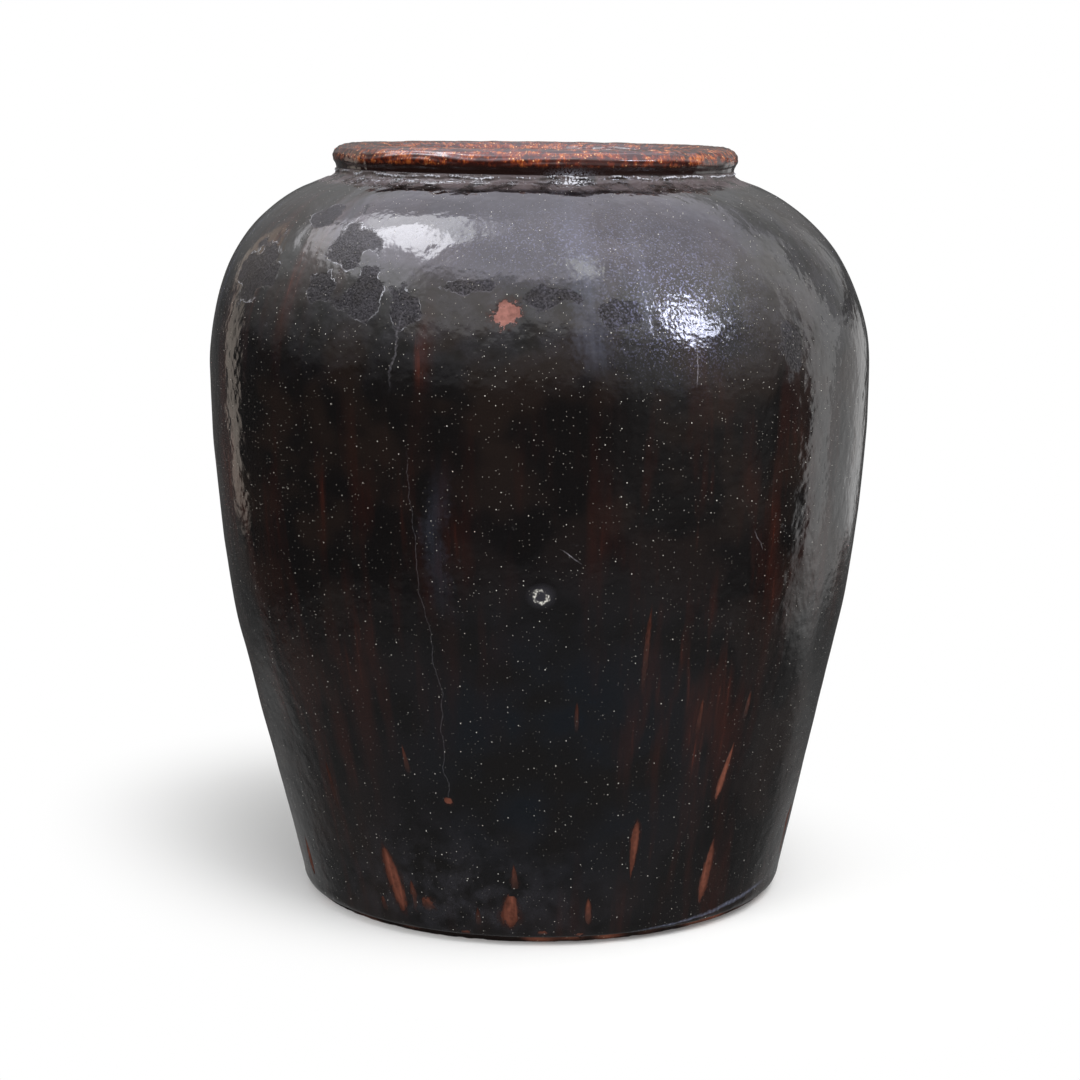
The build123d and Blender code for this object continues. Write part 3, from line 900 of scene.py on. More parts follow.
    def material(self) -> bpy.types.Material:
        """Build the node material."""
        mix = Recipe(self.name)
        for marking, names in (
            (Marking.WINDOW, "across up near"), (Marking.WINDOW_KIND, "roundness tone flare"),
            (Marking.CRACK, "crack_off mist_zone crack_strength"), (Marking.RUN, "run_off neck_zone run_strength"),
            (Marking.POCK, "pock_x pock_y near_pock"), (Marking.ZONES, "rust_zone matte_zone crust_zone"),
            (Marking.MORE_ZONES, "blue_zone low_zone bloom_zone"),
        ):
            mix.carry(marking, *names.split())
        mix.pour(streak=(*self.streak, 3.0), fine_streak=(*self.fine_streak, 3.0))
        mix.noise(
            cloud=(70.0, 2.0), patch=(20.0, 7.0), hammer=(self.hammer_size, 1.5), dapple=(self.dapple_size, 1.5),
            peel=(self.peel_size, 1.0), edge=(5.0, 3.0), fleck=(2.2, 2.0),
        )
        mix.known["side_to_side"] = mix.node("SeparateXYZ", {0: mix.place}).outputs[0]
        mix.work(("wobble", "SUBTRACT", "edge", 0.5))
        for step in (self.windows, self.lines, self.bubble, self.specks, self.stains):
            step(mix)
        torn = mix.colour(self.torn, ("crumbs", self.torn_crumb))
        clay = mix.scaled(mix.colour(self.thin_brown, ("fired", self.clay), ("paler", self.pale_clay)), "soil")
        return mix.done({
            "IOR": self.ior,
            # Painted into the base colour: the glint along torn edges, pale crust on the crests under the lip, the
            # pale neck groove and the bluish glow about the glare
            "Base Color": mix.colour(
                self.ground, ("umber", self.umber), ("blue", self.blue_black), ("rust", self.rust),
                ("bright", self.bright_rust), ("thin", self.thin_neck_and_painted_light), ("milk", self.milk), ("matte", torn),
                ("mist", self.mist), ("haze", self.mist), ("bloom", self.bloom), ("rim", self.crust),
                ("dust", self.faint_salt), ("speck", self.salt), ("crust", self.crust), ("hair", self.hairline),
                ("halo", self.thin_brown), ("bare", clay), ("ring", self.salt),
            ),
            "Roughness": mix.value(
                mix.known["rough"], ("low_zone", self.satin), ("thin", 0.42), ("matte", 0.42), ("bloom", 0.38),
                ("milk", 0.35), ("dust", 0.5), ("speck", 0.6), ("crust", 0.55), ("bare", 0.86), ("ring", 0.6),
            ),
            "Specular IOR Level": mix.value(
                0.5, ("halo", 0.35), ("matte", 0.16), ("thin", 0.3), ("crust", 0.2), ("bare", 0.1),
            ),
            "Normal": mix.bump(
                ("hammer", self.hammer_height), ("dapple", self.dapple_height), ("wrinkled", 0.6),
                ("peel", self.peel_height), ("speck", 0.12), ("dust", 0.05), ("thin", 0.3), ("bare", -0.35),
                ("hair", -0.25), ("crust", 0.5), ("ring", 0.5), ("matte", -0.4), ("torn_bits", 0.5), ("rim", 0.3),
            ),
        })


@dataclass(frozen=True)
class LipGlaze:
    """The same iron glaze, thick on the rolled lip and broken into rust and orange flecks.

    The eye gets fine upright flecks in rows, orange over oxblood, with pale tips, under a soft gloss. Its top is
    painted lit and its underside and the mouth painted in shade, where the flecks fade out.
    """

    name: str = "iron_glaze_rust_mottle"
    oxblood: str = "#36140f"
    # Painted shade under the lip and down the mouth
    painted_shade_under_lip: str = "#1f100d"
    rust: str = "#6e2a14"
    orange: str = "#b0602a"
    straw: str = "#e0b07c"
    crust: str = "#b4b8c6"
    ior: float = 1.52
    gloss: float = 0.05
    fleck: tuple[float, float] = (2.1, 4.2)
    band: float = 7.0
    tip_cell: float = 3.2

    def material(self) -> bpy.types.Material:
        """Build the node material."""
        mix = Recipe(self.name)
        wide, tall = self.fleck
        mix.carry(Marking.ZONES, "lit", "unused", "crust_zone")
        mix.pour(blotch=(4.5 * wide, 1.7 * tall, 4.0), core=(wide, tall, 2.0), ring=(80.0, self.band, 1.0))
        mix.cells("tip", self.tip_cell, "luck")
        mix.noise(cloud=(16.0, 3.0), grain=(1.6, 2.0), hammer=(13.0, 1.5))
        mix.work(
            ("ringed", "MULTIPLY_ADD", "ring", 0.6, "blotch"),
            ("speckled", "MULTIPLY_ADD", "core", 0.8, "ringed"),
            ("warm", "SMOOTHSTEP", "ringed", 0.69, 0.88),
            ("warm", "TIMES", "lit"),
            ("fleck", "SMOOTHSTEP", "speckled", 1.27, 1.46),
            ("fleck", "TIMES", "lit"),
            ("pick", "SMOOTHSTEP", "luck", 0.55, 0.60),
            ("tip", "SMOOTHSTEP", "tip", 0.32, 0.16),
            ("tip", "TIMES", "warm", "pick"),
            ("crust", "SMOOTHSTEP", "grain", 0.42, 0.56),
            ("crust", "TIMES", "crust_zone"),
            ("rough", "LINEAR", "cloud", 0.3, 0.7, self.gloss, self.gloss + 0.08),
        )
        return mix.done({
            "IOR": self.ior,
            "Base Color": mix.colour(
                self.painted_shade_under_lip, ("lit", self.oxblood), ("warm", self.rust), ("fleck", self.orange),
                ("tip", self.straw), ("crust", self.crust),
            ),
            "Roughness": mix.value(mix.known["rough"], ("crust", 0.6)),
            "Normal": mix.bump(("hammer", 0.7), ("fleck", 0.05), ("tip", 0.03), ("grain", 0.02), ("crust", 0.5)),
        })


@dataclass(frozen=True)
class InsideWash:
    """Thin slip wash, swirled inside and drained: satin brown, with runs, pinholes and darker drained streaks."""

    name: str = "slip_wash_brown"
    brown: str = "#2e1c13"
    dark: str = "#160e0a"
    worn: str = "#5a3a29"
    ior: float = 1.48
    gloss: float = 0.34
    run: tuple[float, float] = (22.0, 260.0)
    grain: float = 1.5
    pit_cell: float = 6.0

    def material(self) -> bpy.types.Material:
        """Build the node material."""
        mix = Recipe(self.name)
        mix.pour(runs=(*self.run, 3.0))
        mix.noise(cloud=(45.0, 4.0), grit=(self.grain, 2.0))
        mix.cells("pit", self.pit_cell)
        mix.work(
            ("drained", "SMOOTHSTEP", "runs", 0.45, 0.65),
            ("worn", "SMOOTHSTEP", "cloud", 0.58, 0.75),
            ("pit", "SMOOTHSTEP", "pit", 0.12, 0.06),
            ("rough", "LINEAR", "cloud", 0.3, 0.7, self.gloss, self.gloss + 0.25),
        )
        return mix.done({
            "IOR": self.ior,
            "Base Color": mix.colour(self.brown, ("drained", self.dark), ("worn", self.worn), ("pit", self.dark)),
            "Roughness": mix.known["rough"],
            "Normal": mix.bump(("runs", 0.5), ("cloud", 0.4), ("grit", 0.05), ("pit", -0.4)),
        })


@dataclass(frozen=True)
class BareClay:
    """Unglazed stoneware, beaten and fired: matte, gritty, with iron spots, pale quartz and drag marks."""

    name: str
    body: str
    toasted: str
    # Painted shade: the darker colour of the foot's outer rounding by the floor
    painted_edge_shade: str = "#1d1412"
    iron: str = "#2c1610"
    quartz: str = "#c7a88f"
    rough: float = 0.88
    grit: float = 1.4
    iron_cell: float = 9.0
    quartz_cell: float = 5.0
    blush: float = 40.0
    grit_height: float = 0.16
    ior: float = 1.45
    sheen: float = 0.12  # porous clay has no glassy skin

    def material(self) -> bpy.types.Material:
        """Build the node material."""
        mix = Recipe(self.name)
        mix.carry(Marking.ZONES, "smoke")
        mix.noise(blush=(self.blush, 4.0), grit=(self.grit, 3.0), drag=(6.0, 2.0))
        mix.cells("iron", self.iron_cell)
        mix.cells("quartz", self.quartz_cell)
        mix.work(
            ("iron", "LINEAR", "iron", 0.16, 0.10),
            ("quartz", "LINEAR", "quartz", 0.16, 0.10),
            ("toast", "LINEAR", "blush", 0.4, 0.62),
            ("shade", "LINEAR", "grit", 0.25, 0.75, 0.7, 1.15),
        )
        colour = mix.colour(
            self.body, ("toast", self.toasted), ("iron", self.iron), ("quartz", self.quartz), ("smoke", self.painted_edge_shade),
        )
        return mix.done({
            "Roughness": self.rough,
            "Specular IOR Level": self.sheen,
            "IOR": self.ior,
            "Base Color": mix.scaled(colour, "shade"),
            "Normal": mix.bump(("grit", self.grit_height), ("drag", 0.3), ("iron", -0.2), ("quartz", 0.12)),
        })


# The jar's parts, from the outer coat to the clay inside

# Azimuth, height, half width, half height and strength of soft patches in the dark glaze
RUST = (
    (27, 300, 90, 270, 0.85), (26, 110, 46, 120, 0.65), (-45, 130, 60, 160, 0.6), (-18.6, 618, 9, 34, 0.9),
    (44, 430, 50, 150, 0.6), (-40, 470, 40, 50, 0.3), (-64, 500, 60, 200, 0.8), (-52, 690, 100, 80, 0.7),
    (120, 300, 90, 220, 0.7), (240, 360, 110, 240, 0.7),
)
TORN = (
    (-48, 732, 22, 10, 1.0), (-36, 705, 26, 26, 1.0), (-30, 664, 22, 24, 1.0), (-22, 650, 16, 18, 1.0),
    (-40, 668, 18, 14, 1.0), (2, 664, 34, 9, 1.0), (13, 648, 26, 12, 1.0), (-12, 672, 30, 7, 1.0),
    (46, 610, 18, 26, 1.0), (88, 700, 34, 22, 1.0), (150, 690, 40, 24, 1.0), (222, 704, 36, 20, 1.0),
    (300, 676, 40, 30, 1.0),
)
CRUST = ((10, 768, 22, 5, 0.75), (-52, 766, 90, 7, 0.4), (38, 14, 60, 8, 0.12))


def steps_between(*spans: tuple[float, float, float]) -> np.ndarray:
    """Stations along a line: each span gives its start, its end and the space between stations."""
    runs = [np.linspace(a, b, max(2, int(round((b - a) / gap)) + 1)) for a, b, gap in spans]
    return np.unique(np.round(np.concatenate(runs), 4))


@dataclass
class BodyGlaze:
    """Dark coat on the outside, with its windows, hairlines, runs and foot roll."""

    section: Section
    form: HandmadeForm
    thickness: float = 0.95
    front: float = 52.0
    front_step: float = 0.46
    back_step: float = 1.9
    row_heights: tuple[float, ...] = (26, 150, 290, 600, 748)
    row_gaps: tuple[float, ...] = (1.5, 3.0, 4.0, 8.0, 5.0, 1.3)
    joint_height: float = 217.5
    bubble_place: tuple[float, float] = (0.4, 377.5)
    bubble_size: tuple[float, float] = (8.4, 7.4)
    cracks: tuple[Line, ...] = (
        Line(((-21.3, 520), (-21.0, 506), (-20.2, 410), (-19.6, 370), (-18.4, 324), (-17.4, 277), (-17.9, 235),
              (-18.4, 150)), 0.7, 0.14),
        Line(((3.4, 424), (6.9, 410.5)), 1.1, 0.9, 0.3, 0.0),
        Line(((37.9, 428), (40.2, 412)), 0.8, 0.5, 0.3, 0.0),
        Line(((-22.4, 660), (-23.0, 618), (-24.2, 572)), 1.6, 0.3, 0.3, 1.5),
        Line(((25.8, 618), (25.4, 578)), 0.7, 0.6, 0.2, 0.3),
        Line(((96.0, 610), (98.5, 520), (97.0, 430), (99.0, 350)), 0.9, 0.5),
        Line(((171.0, 520), (169.0, 400), (172.5, 300), (171.0, 190), (173.0, 110)), 0.9, 0.55),
        Line(((250.0, 480), (248.5, 380), (251.0, 290)), 0.9, 0.5),
    )
    runs: tuple[Line, ...] = (
        Line(((7.4, 772), (7.2, 742), (8.4, 661), (8.6, 580)), 26.0, 0.34, 0.25, 0.8),
        Line(((17.2, 735), (18.2, 690), (17.5, 616)), 13.0, 0.30, 0.35, 0.8),
        Line(((22.0, 10), (39.4, 15), (62.3, 27)), 30.0, 0.9, 0.1, 0.0),
        Line(((-16.0, 520), (-17.0, 430), (-15.0, 330)), 18.0, 0.12, 0.4, 2.0),
        Line(((126.0, 764), (128.0, 690), (125.5, 600)), 12.0, 0.5, 0.35, 1.5),
        Line(((204.0, 764), (203.0, 700), (206.0, 640)), 9.0, 0.5, 0.35, 1.5),
        Line(((287.0, 764), (284.0, 700), (286.0, 610)), 12.0, 0.45, 0.35, 1.5),
    )

    def skin(self) -> TurnedSkin:
        """Outer face, finer near the foot, the neck and the front."""
        path = self.section.body_path()
        end = path.along[-1]
        places = [0.0, *(float(np.interp(height, path.points[:, 1], path.along)) for height in self.row_heights), end]
        stations = steps_between(*zip(places[:-1], places[1:], self.row_gaps))
        backing = steps_between((0.0, 30.0, 6.0), (30.0, end - 30, 18.0), (end - 30, end, 2.2))
        azimuths = np.concatenate([
            np.arange(-self.front, self.front, self.front_step),
            np.arange(self.front, 360 - self.front - self.back_step / 2, self.back_step),
        ])
        log.info("body glaze grid: %d rows, %d columns", len(stations), len(azimuths))
        return TurnedSkin("body_glaze_coat", path, stations, azimuths, self.form, self.thickness, backing)

    def bubble(self, skin: TurnedSkin) -> np.ndarray:
        """Across, up and nearness at the burst bubble."""
        (azimuth, height), (wide, tall) = self.bubble_place, self.bubble_size
        turn = np.radians(wide_from(skin.azimuths, azimuth))[None, :]
        place = np.stack([skin.points[:, :1] * np.sin(turn) / wide, (skin.height - height) / tall], axis=2)
        near = (np.abs(place).max(axis=2) < 3) & (np.cos(turn) > 0.5)
        return np.concatenate([place, near[..., None]], axis=2)

    def zones(self, skin: TurnedSkin) -> tuple[np.ndarray, np.ndarray]:
        """Where the stains lie: rust, torn skin and crust; and the blue cast, the satin low down and the bluish
        crystal grains, whose front patch is a painted glow about the glare.
        """
        patchy = np.clip(0.55 + 0.5 * skin.waves(260, 21), 0, 1)
        rust = np.clip(patchy * smooth(skin.height, 640, 420) * 0.4, 0, 1)
        rust = np.maximum(rust, spots(skin, RUST)) * (1 - 0.85 * spot(skin, -2, 230, 110, 210))
        blue = np.clip(1.1 * spot(skin, 2, 210, 190, 190) + 0.3 * spot(skin, 200, 230, 220, 160), 0, 1)
        # Crystal grains; the front patch about the mirrored glare is a painted bluish glow
        bloom = np.clip(0.85 * spot(skin, 24, 654, 58, 44) + 0.3 * spot(skin, 6, 715, 120, 30)
                        + 0.4 * spot(skin, 140, 650, 120, 60) + 0.35 * spot(skin, 255, 660, 120, 50), 0, 1)
        zones = np.stack([rust, spots(skin, TORN), spots(skin, CRUST)], axis=2)
        return zones, np.stack([blue, smooth(skin.height, 520, 240), bloom], axis=2)

    def crests(self, skin: TurnedSkin, zones: np.ndarray) -> np.ndarray:
        """Relief of two crest lines under the lip, with pale crust along them added to the zones as a painted
        highlight.
        """
        left = spot(skin, -32, 768, 130, 60)
        relief = 0
        for down, sway, wide, level, seed in ((3.0, 1.0, 1.3, 1 + 0 * left, 71), (11.5, 1.5, 1.5, 1.1 * left, 72)):
            middle = skin.path.along[-1] - down + sway * skin.waves(40, seed)
            off = (skin.stations[:, None] - middle) / wide
            broken = np.clip(0.85 + 0.5 * skin.waves(30, seed + 2), 0, 1) * level
            # Painted highlight: pale crust along each crest, standing in for the glint that the ridge catches
            zones[..., 2] = np.maximum(zones[..., 2], np.exp(-(off - 0.2) ** 2) * broken)
            relief = relief + 1.1 * np.exp(-off ** 2) * (0.5 + broken)
        return relief

    def relief(self, skin: TurnedSkin, crust: np.ndarray, pock: np.ndarray) -> np.ndarray:
        """Rolls, ridges and crumbs of the thick glaze, in millimetres."""
        along, end = skin.stations[:, None], skin.path.along[-1]
        relief = 0.07 * skin.waves(34, 31)
        roll = 0.45 + 0.35 * skin.waves(40, 32) + 0.5 * spot(skin, 38, 12, 110, 40)
        relief += np.clip(roll, 0, 1.2) * np.exp(-((along - 7) / 5.0) ** 2)
        relief += 0.5 * smooth(skin.waves(24, 33), 0.2, 1.0) * spot(skin, 38, 13, 80, 9)
        relief += 0.35 * np.exp(-((along - (end - 34)) / 6.0) ** 2) * skin.waves(90, 36)
        relief += 0.26 * skin.waves(9, 39) * smooth(along, end - 26, end - 18) * smooth(along, end, end - 3)
        relief += 0.6 * smooth(skin.waves(5.5, 37), 0.1, 1.2) * smooth(crust, 0.25, 0.7)
        relief += 0.6 * np.exp(-((np.hypot(pock[..., 0], pock[..., 1]) - 0.9) / 0.3) ** 2) * pock[..., 2]
        return relief - 0.12 * np.exp(-((skin.height - self.joint_height) / 1.8) ** 2)

    def build(self, finish: bpy.types.Material) -> bpy.types.Object:
        """Make the coat and give it its finish."""
        skin = self.skin()
        window, kind, recess = mark_fields(skin, SLASHES + CHIPS)
        crack = line_field(skin, self.cracks, 16.0)
        mist = smooth(skin.height, 560, 660) * (1 - 0.8 * spot(skin, -52, 690, 120, 90))
        crack[..., 1] = np.maximum(mist, spot(skin, -20, 50, 130, 60))
        run = line_field(skin, self.runs, 2.5)
        # Neck zone, where the thin glaze is drawn pale as painted light in the lip's shade
        run[..., 1] = smooth(skin.height, 758, 764)
        pock = self.bubble(skin)
        zones, more_zones = self.zones(skin)
        crests = self.crests(skin, zones)
        relief = self.relief(skin, zones[..., 2], pock) + crests - recess
        relief[-1] = 0.0
        piece = skin.build(relief, {
            Marking.FLOW: skin.flow, Marking.WINDOW: window, Marking.WINDOW_KIND: kind, Marking.CRACK: crack,
            Marking.RUN: run, Marking.POCK: pock, Marking.ZONES: zones, Marking.MORE_ZONES: more_zones,
        })
        piece.data.materials.append(finish)
        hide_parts("body_glaze")
        log.info("made %s", piece.name)
        return piece


@dataclass
class LipCoat:
    """Mottled coat over the rolled lip and down the mouth."""

    section: Section
    form: HandmadeForm
    thickness: float = 0.95
    column_step: float = 0.5
    row_gap: float = 0.95
    backing_gap: float = 3.4
    throwing_ridge: float = 6.2

    def build(self, finish: bpy.types.Material) -> bpy.types.Object:
        """Make the coat and give it its finish."""
        path = self.section.lip_path()
        stations = steps_between((0.0, path.along[-1], self.row_gap))
        backing = steps_between((0.0, path.along[-1], self.backing_gap))
        azimuths = np.arange(0, 360, self.column_step)
        skin = TurnedSkin("lip_glaze_coat", path, stations, azimuths, self.form, self.thickness, backing)
        height = skin.height
        # Painted light and shade: the top of the lip counts as lit; its underside and the mouth below are painted in
        # shade
        outer = skin.points[:, :1] > self.section.crown_centre[0]
        lit = smooth(height, 781, 789) * outer + smooth(height, 768, 792) * ~outer
        crust = 0.35 * spot(skin, 10, 773, 20, 6)
        relief = 0.16 * skin.waves(46, 41) + 0.07 * skin.waves(14, 42)
        along = stations[:, None]
        ridges = np.sin((along + 2.5 * skin.waves(160, 43)) / self.throwing_ridge * math.tau)
        relief += 0.22 * ridges * smooth(height, 776, 784)
        relief += 0.4 * smooth(skin.waves(5.5, 44), 0.1, 1.2) * smooth(crust, 0.25, 0.7)
        relief[0] = 0.0
        zones = np.stack([lit, 0 * lit, crust], axis=2)
        piece = skin.build(relief, {Marking.FLOW: skin.flow, Marking.ZONES: zones})
        piece.data.materials.append(finish)
        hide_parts("lip_glaze")
        log.info("made %s", piece.name)
        return piece


@dataclass
class WashCoat:
    """Wash over the ridged inside, from the throat to the middle of the floor."""

    section: Section
    form: HandmadeForm
    coat: float = 0.8
    thickness: float = 0.7
    column_step: float = 1.4
    row_gap: float = 3.8

    def build(self, finish: bpy.types.Material) -> bpy.types.Object:
        """Make the coat and give it its finish."""
        path = self.section.inside_path(self.coat)
        stations = steps_between((0.0, 24.0, 1.6), (24.0, path.along[-1], self.row_gap))
        backing = np.linspace(0.0, path.along[-1], 64)
        azimuths = np.arange(0, 360, self.column_step)
        skin = TurnedSkin("inside_wash_coat", path, stations, azimuths, self.form, self.thickness, backing)
        relief = 0.5 * np.clip(skin.waves(40, 51), 0, None) + 0.25 * np.clip(skin.waves(16, 52), 0, None)
        relief[0] = 0.0
        piece = skin.build(relief, {Marking.FLOW: skin.flow})
        piece.data.materials.append(finish)
        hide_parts("inside_wash")
        log.info("made %s", piece.name)
        return piece


@dataclass
class FootSlab:
    """Floor slab with its resting ring, worn hollow and gritty edge."""

    section: Section
    form: HandmadeForm
    column_step: float = 1.0
    coat_edge: float = 290 + 2 / 3  # station where the glaze begins, above which the clay isn't worn

    def build(self, finish: bpy.types.Material) -> bpy.types.Object:
        """Make the slab and give it its finish."""
        path = self.section.foot_path()
        stations = steps_between((0.0, 180.0, 6.0), (180.0, 330.0, 1.8), (330.0, path.along[-1], 6.0))
        skin = TurnedSkin("foot_slab", path, stations, np.arange(0, 360, self.column_step), self.form)
        points, facing = skin.points, skin.facing
        outside = (points[:, 1:] < 12) | (points[:, :1] > self.section.foot_centre[0])
        bare = outside & (stations[:, None] < self.coat_edge)
        worn = 0.35 * np.clip(skin.waves(26, 61), -0.2, 1.2) + 0.18 * np.clip(skin.waves(9, 62), 0, 1.5)
        relief = -worn * bare * (facing[:, 1:] > -0.999)
        relief -= worn * (points[:, 1:] > 2.5) * (facing[:, 1:] < -0.999)
        # Painted shade on the outer rounding of the foot, just above the floor
        smoke = np.clip(0.8 + 0.35 * skin.waves(50, 63), 0, 1)
        smoke = smoke * smooth(points[:, :1], 236, 244) * smooth(points[:, 1:], 0.2, 2.5)
        zones = np.stack([smoke, 0 * smoke, 0 * smoke], axis=2)
        piece = skin.build(relief, {Marking.FLOW: skin.flow, Marking.ZONES: zones})
        piece.data.materials.append(finish)
        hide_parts("base_slab")
        log.info("made %s", piece.name)
        return piece


@dataclass
class HiddenClay:
    """Coils, collar, lip and slip under the coats: the solids' own shapes, leaned like the rest."""

    form: HandmadeForm
    nodes: dict[str, bpy.types.Object]
    coated: tuple[str, ...] = ("body_glaze", "lip_glaze", "inside_wash", "base_slab")

    def build(self, clay: bpy.types.Material, slip: bpy.types.Material) -> list[bpy.types.Object]:
        """Copy and bend every solid that a coat covers."""
        pieces = []
        for node_name in sorted(self.nodes):
            if node_name in self.coated:
                continue
            mesh = self.nodes[node_name].data.copy()
            mesh.name = node_name + "_fired"
            places = np.zeros(len(mesh.vertices) * 3, np.float32)
            mesh.vertices.foreach_get("co", places)
            bent = self.form.bend(places.reshape(-1, 3).astype(float) / MM) * MM
            mesh.vertices.foreach_set("co", bent.astype(np.float32).ravel())
            mesh.update()
            is_slip = node_name == "luting_slip"
            mesh.materials.clear()
            mesh.materials.append(slip if is_slip else clay)
            piece = bpy.data.objects.new(node_name + "_fired", mesh)
            bpy.context.scene.collection.objects.link(piece)
            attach(piece, BODY)
            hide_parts(node_name)
            log.info("made %s", piece.name)
            pieces.append(piece)
        return pieces


# The place where it is photographed: floor, lamps, reflected room and camera


@dataclass(frozen=True)
class Patch:
    """Bright or dark place in the room that the glaze mirrors, by azimuth and elevation in degrees."""

    azimuths: tuple[float, float]
    elevations: tuple[float, float]
    level: float
    tint: str = "#ffffff"
    soft: float = 3.0


@dataclass
class MirroredRoom:
    """Sphere that only reflections see: dark flags in front, soft panels above, a bright band at the right."""

    radius: float = 4.0
    centre: float = 0.55
    step: float = 1.5
    cool: str = "#f5f2ff"
    sectors: tuple[tuple[tuple[float, ...], tuple[tuple[float, float], ...]], ...] = (
        ((-180, -134, 134, 180), (
            (-90, 0.3), (-26, 0.25), (-20, 0.08), (4, 0.09), (12, 0.24), (25, 0.42), (33, 0.62), (40, 1.1), (46, 1.7),
            (62, 1.9), (75, 2.5), (90, 3.3),
        )),
        ((-118, -62), (
            (-90, 0.16), (-27, 0.13), (-22, 0.03), (3, 0.05), (12, 0.25), (20, 0.5), (28, 0.95), (34, 1.3), (36, 3.2),
            (46, 4.4), (60, 5.2), (72, 4.8), (82, 3.7), (90, 3.3),
        )),
        ((-42, 14), (
            (-90, 0.16), (-27, 0.13), (-23, 0.04), (-6, 0.05), (2, 0.09), (6, 0.25), (18, 0.4), (22, 0.6), (24, 1.3),
            (33, 1.6), (43, 1.9), (47, 2.3), (49, 3.8), (62, 3.5), (74, 3.7), (90, 3.3),
        )),
        ((40, 76), (
            (-90, 0.16), (-27, 0.16), (-22, 0.06), (-4, 0.25), (4, 0.6), (14, 0.7), (20, 1.2), (32, 2.4), (46, 2.7),
            (58, 2.7), (66, 3.4), (78, 3.2), (90, 3.2),
        )),
        ((86, 100), (
            (-90, 0.12), (-27, 0.1), (-22, 0.02), (-7, 0.1), (2, 0.28), (10, 0.4), (14, 0.6), (20, 1.0), (35, 1.7),
            (45, 2.3), (70, 2.5), (90, 3.5),
        )),
        ((104, 118), (
            (-90, 0.14), (-27, 0.12), (-21, 0.6), (-17, 1.15), (12, 1.35), (22, 1.6), (45, 1.8), (60, 2.0), (75, 2.5),
            (90, 3.5),
        )),
    )
    patches: tuple[Patch, ...] = (
        Patch((-132, -121), (-14, 16), 0.75, "#fff1e4", 1.0),
        Patch((-141, -124), (11, 29), 0.85, "#fff1e4", 1.5),
        Patch((118, 138), (-18, 5), 0.62, soft=1.0),
        Patch((138, 152), (-14, 2), 0.8, soft=1.5),
        Patch((117, 152), (8, 31), 0.55, soft=1.0),
        Patch((131, 178), (28, 40), 0.6, soft=1.5),
        Patch((-126, -58), (66, 77), 7.5, "#f7f7ff", 3.0),
        Patch((-128, -100), (53, 69), 7.0, "#f7f7ff", 3.0),
        Patch((-107, -58), (53, 68), 14.5, "#f7f7ff", 1.5),
        Patch((48, 57), (19, 32), 34.0, "#e4e9ff", 1.5),
        Patch((57, 64), (17, 23), 24.0, "#e4e9ff", 1.5),
        Patch((14, 34), (50, 63), 6.0, soft=3.0),
    )

    def level(self, azimuth: np.ndarray, elevation: np.ndarray) -> np.ndarray:
        """Colour and strength of the room in each direction."""
        places, heights = [], []
        for turns, profile in self.sectors:
            for turn in turns:
                places.append(turn)
                heights.append(np.interp(elevation, *zip(*profile)))
        order = np.argsort(places)
        places = np.array(places, float)[order]
        heights = np.stack(heights)[order]
        after = np.clip(np.searchsorted(places, azimuth, side="right"), 1, len(places) - 1)
        share = smooth(azimuth, places[after - 1], places[after])
        before, beyond = (np.take_along_axis(heights, index[None], axis=0)[0] for index in (after - 1, after))
        glow = before * (1 - share) + beyond * share
        cast = 1.1 * np.array(linear(self.cool)[:3]) - 1
        glow = glow[..., None] * (1 + cast * smooth(elevation, 30, 52)[..., None])
        for patch in self.patches:
            low, high = patch.azimuths
            along, wide = (azimuth - low + 90) % 360 - 90, high - low
            share = smooth(along, -patch.soft, patch.soft) * smooth(along, wide + patch.soft, wide - patch.soft)
            low, high = patch.elevations
            share *= smooth(elevation, low - patch.soft, low + patch.soft)
            share *= smooth(elevation, high + patch.soft, high - patch.soft)
            glow += (patch.level * np.array(linear(patch.tint)[:3]) - glow) * share[..., None]
        return glow

    def finish(self) -> bpy.types.Material:
        """Plain light of each vertex's own strength."""
        made, tree = empty_material("room_seen_in_the_glaze")
        made.cycles.emission_sampling = "NONE"
        glow = add(tree, "Attribute", attribute_name="glow")
        light = add(tree, "Emission", {"Color": glow.outputs["Color"]})
        add(tree, "OutputMaterial", {"Surface": light.outputs[0]})
        return made

    def build(self) -> bpy.types.Object:
        """Make the sphere."""
        azimuths = np.arange(-180.0, 180.0, self.step)
        elevations = np.arange(-90.0, 90.1, self.step)
        turn, rise = np.meshgrid(np.radians(azimuths), np.radians(elevations))
        places = np.stack([
            np.sin(turn) * np.cos(rise), -np.cos(turn) * np.cos(rise), np.sin(rise) + self.centre / self.radius,
        ], axis=2) * self.radius
        rows, columns = turn.shape
        index = np.arange(rows * columns).reshape(rows, columns)
        after = np.roll(index, -1, axis=1)
        faces = np.stack([index[:-1], after[:-1], after[1:], index[1:]], axis=2).reshape(-1, 4)
        mesh = bpy.data.meshes.new("mirrored_room")
        mesh.from_pydata(places.reshape(-1, 3).tolist(), [], faces.tolist())
        glow = self.level(np.degrees(turn), np.degrees(rise)).astype(np.float32)
        mesh.attributes.new("glow", "FLOAT_VECTOR", "POINT").data.foreach_set("vector", glow.ravel())
        mesh.materials.append(self.finish())
        room = bpy.data.objects.new("mirrored_room", mesh)
        bpy.context.scene.collection.objects.link(room)
        for ray in ("camera", "diffuse", "transmission", "volume_scatter", "shadow"):
            setattr(room, "visible_" + ray, False)
        return room


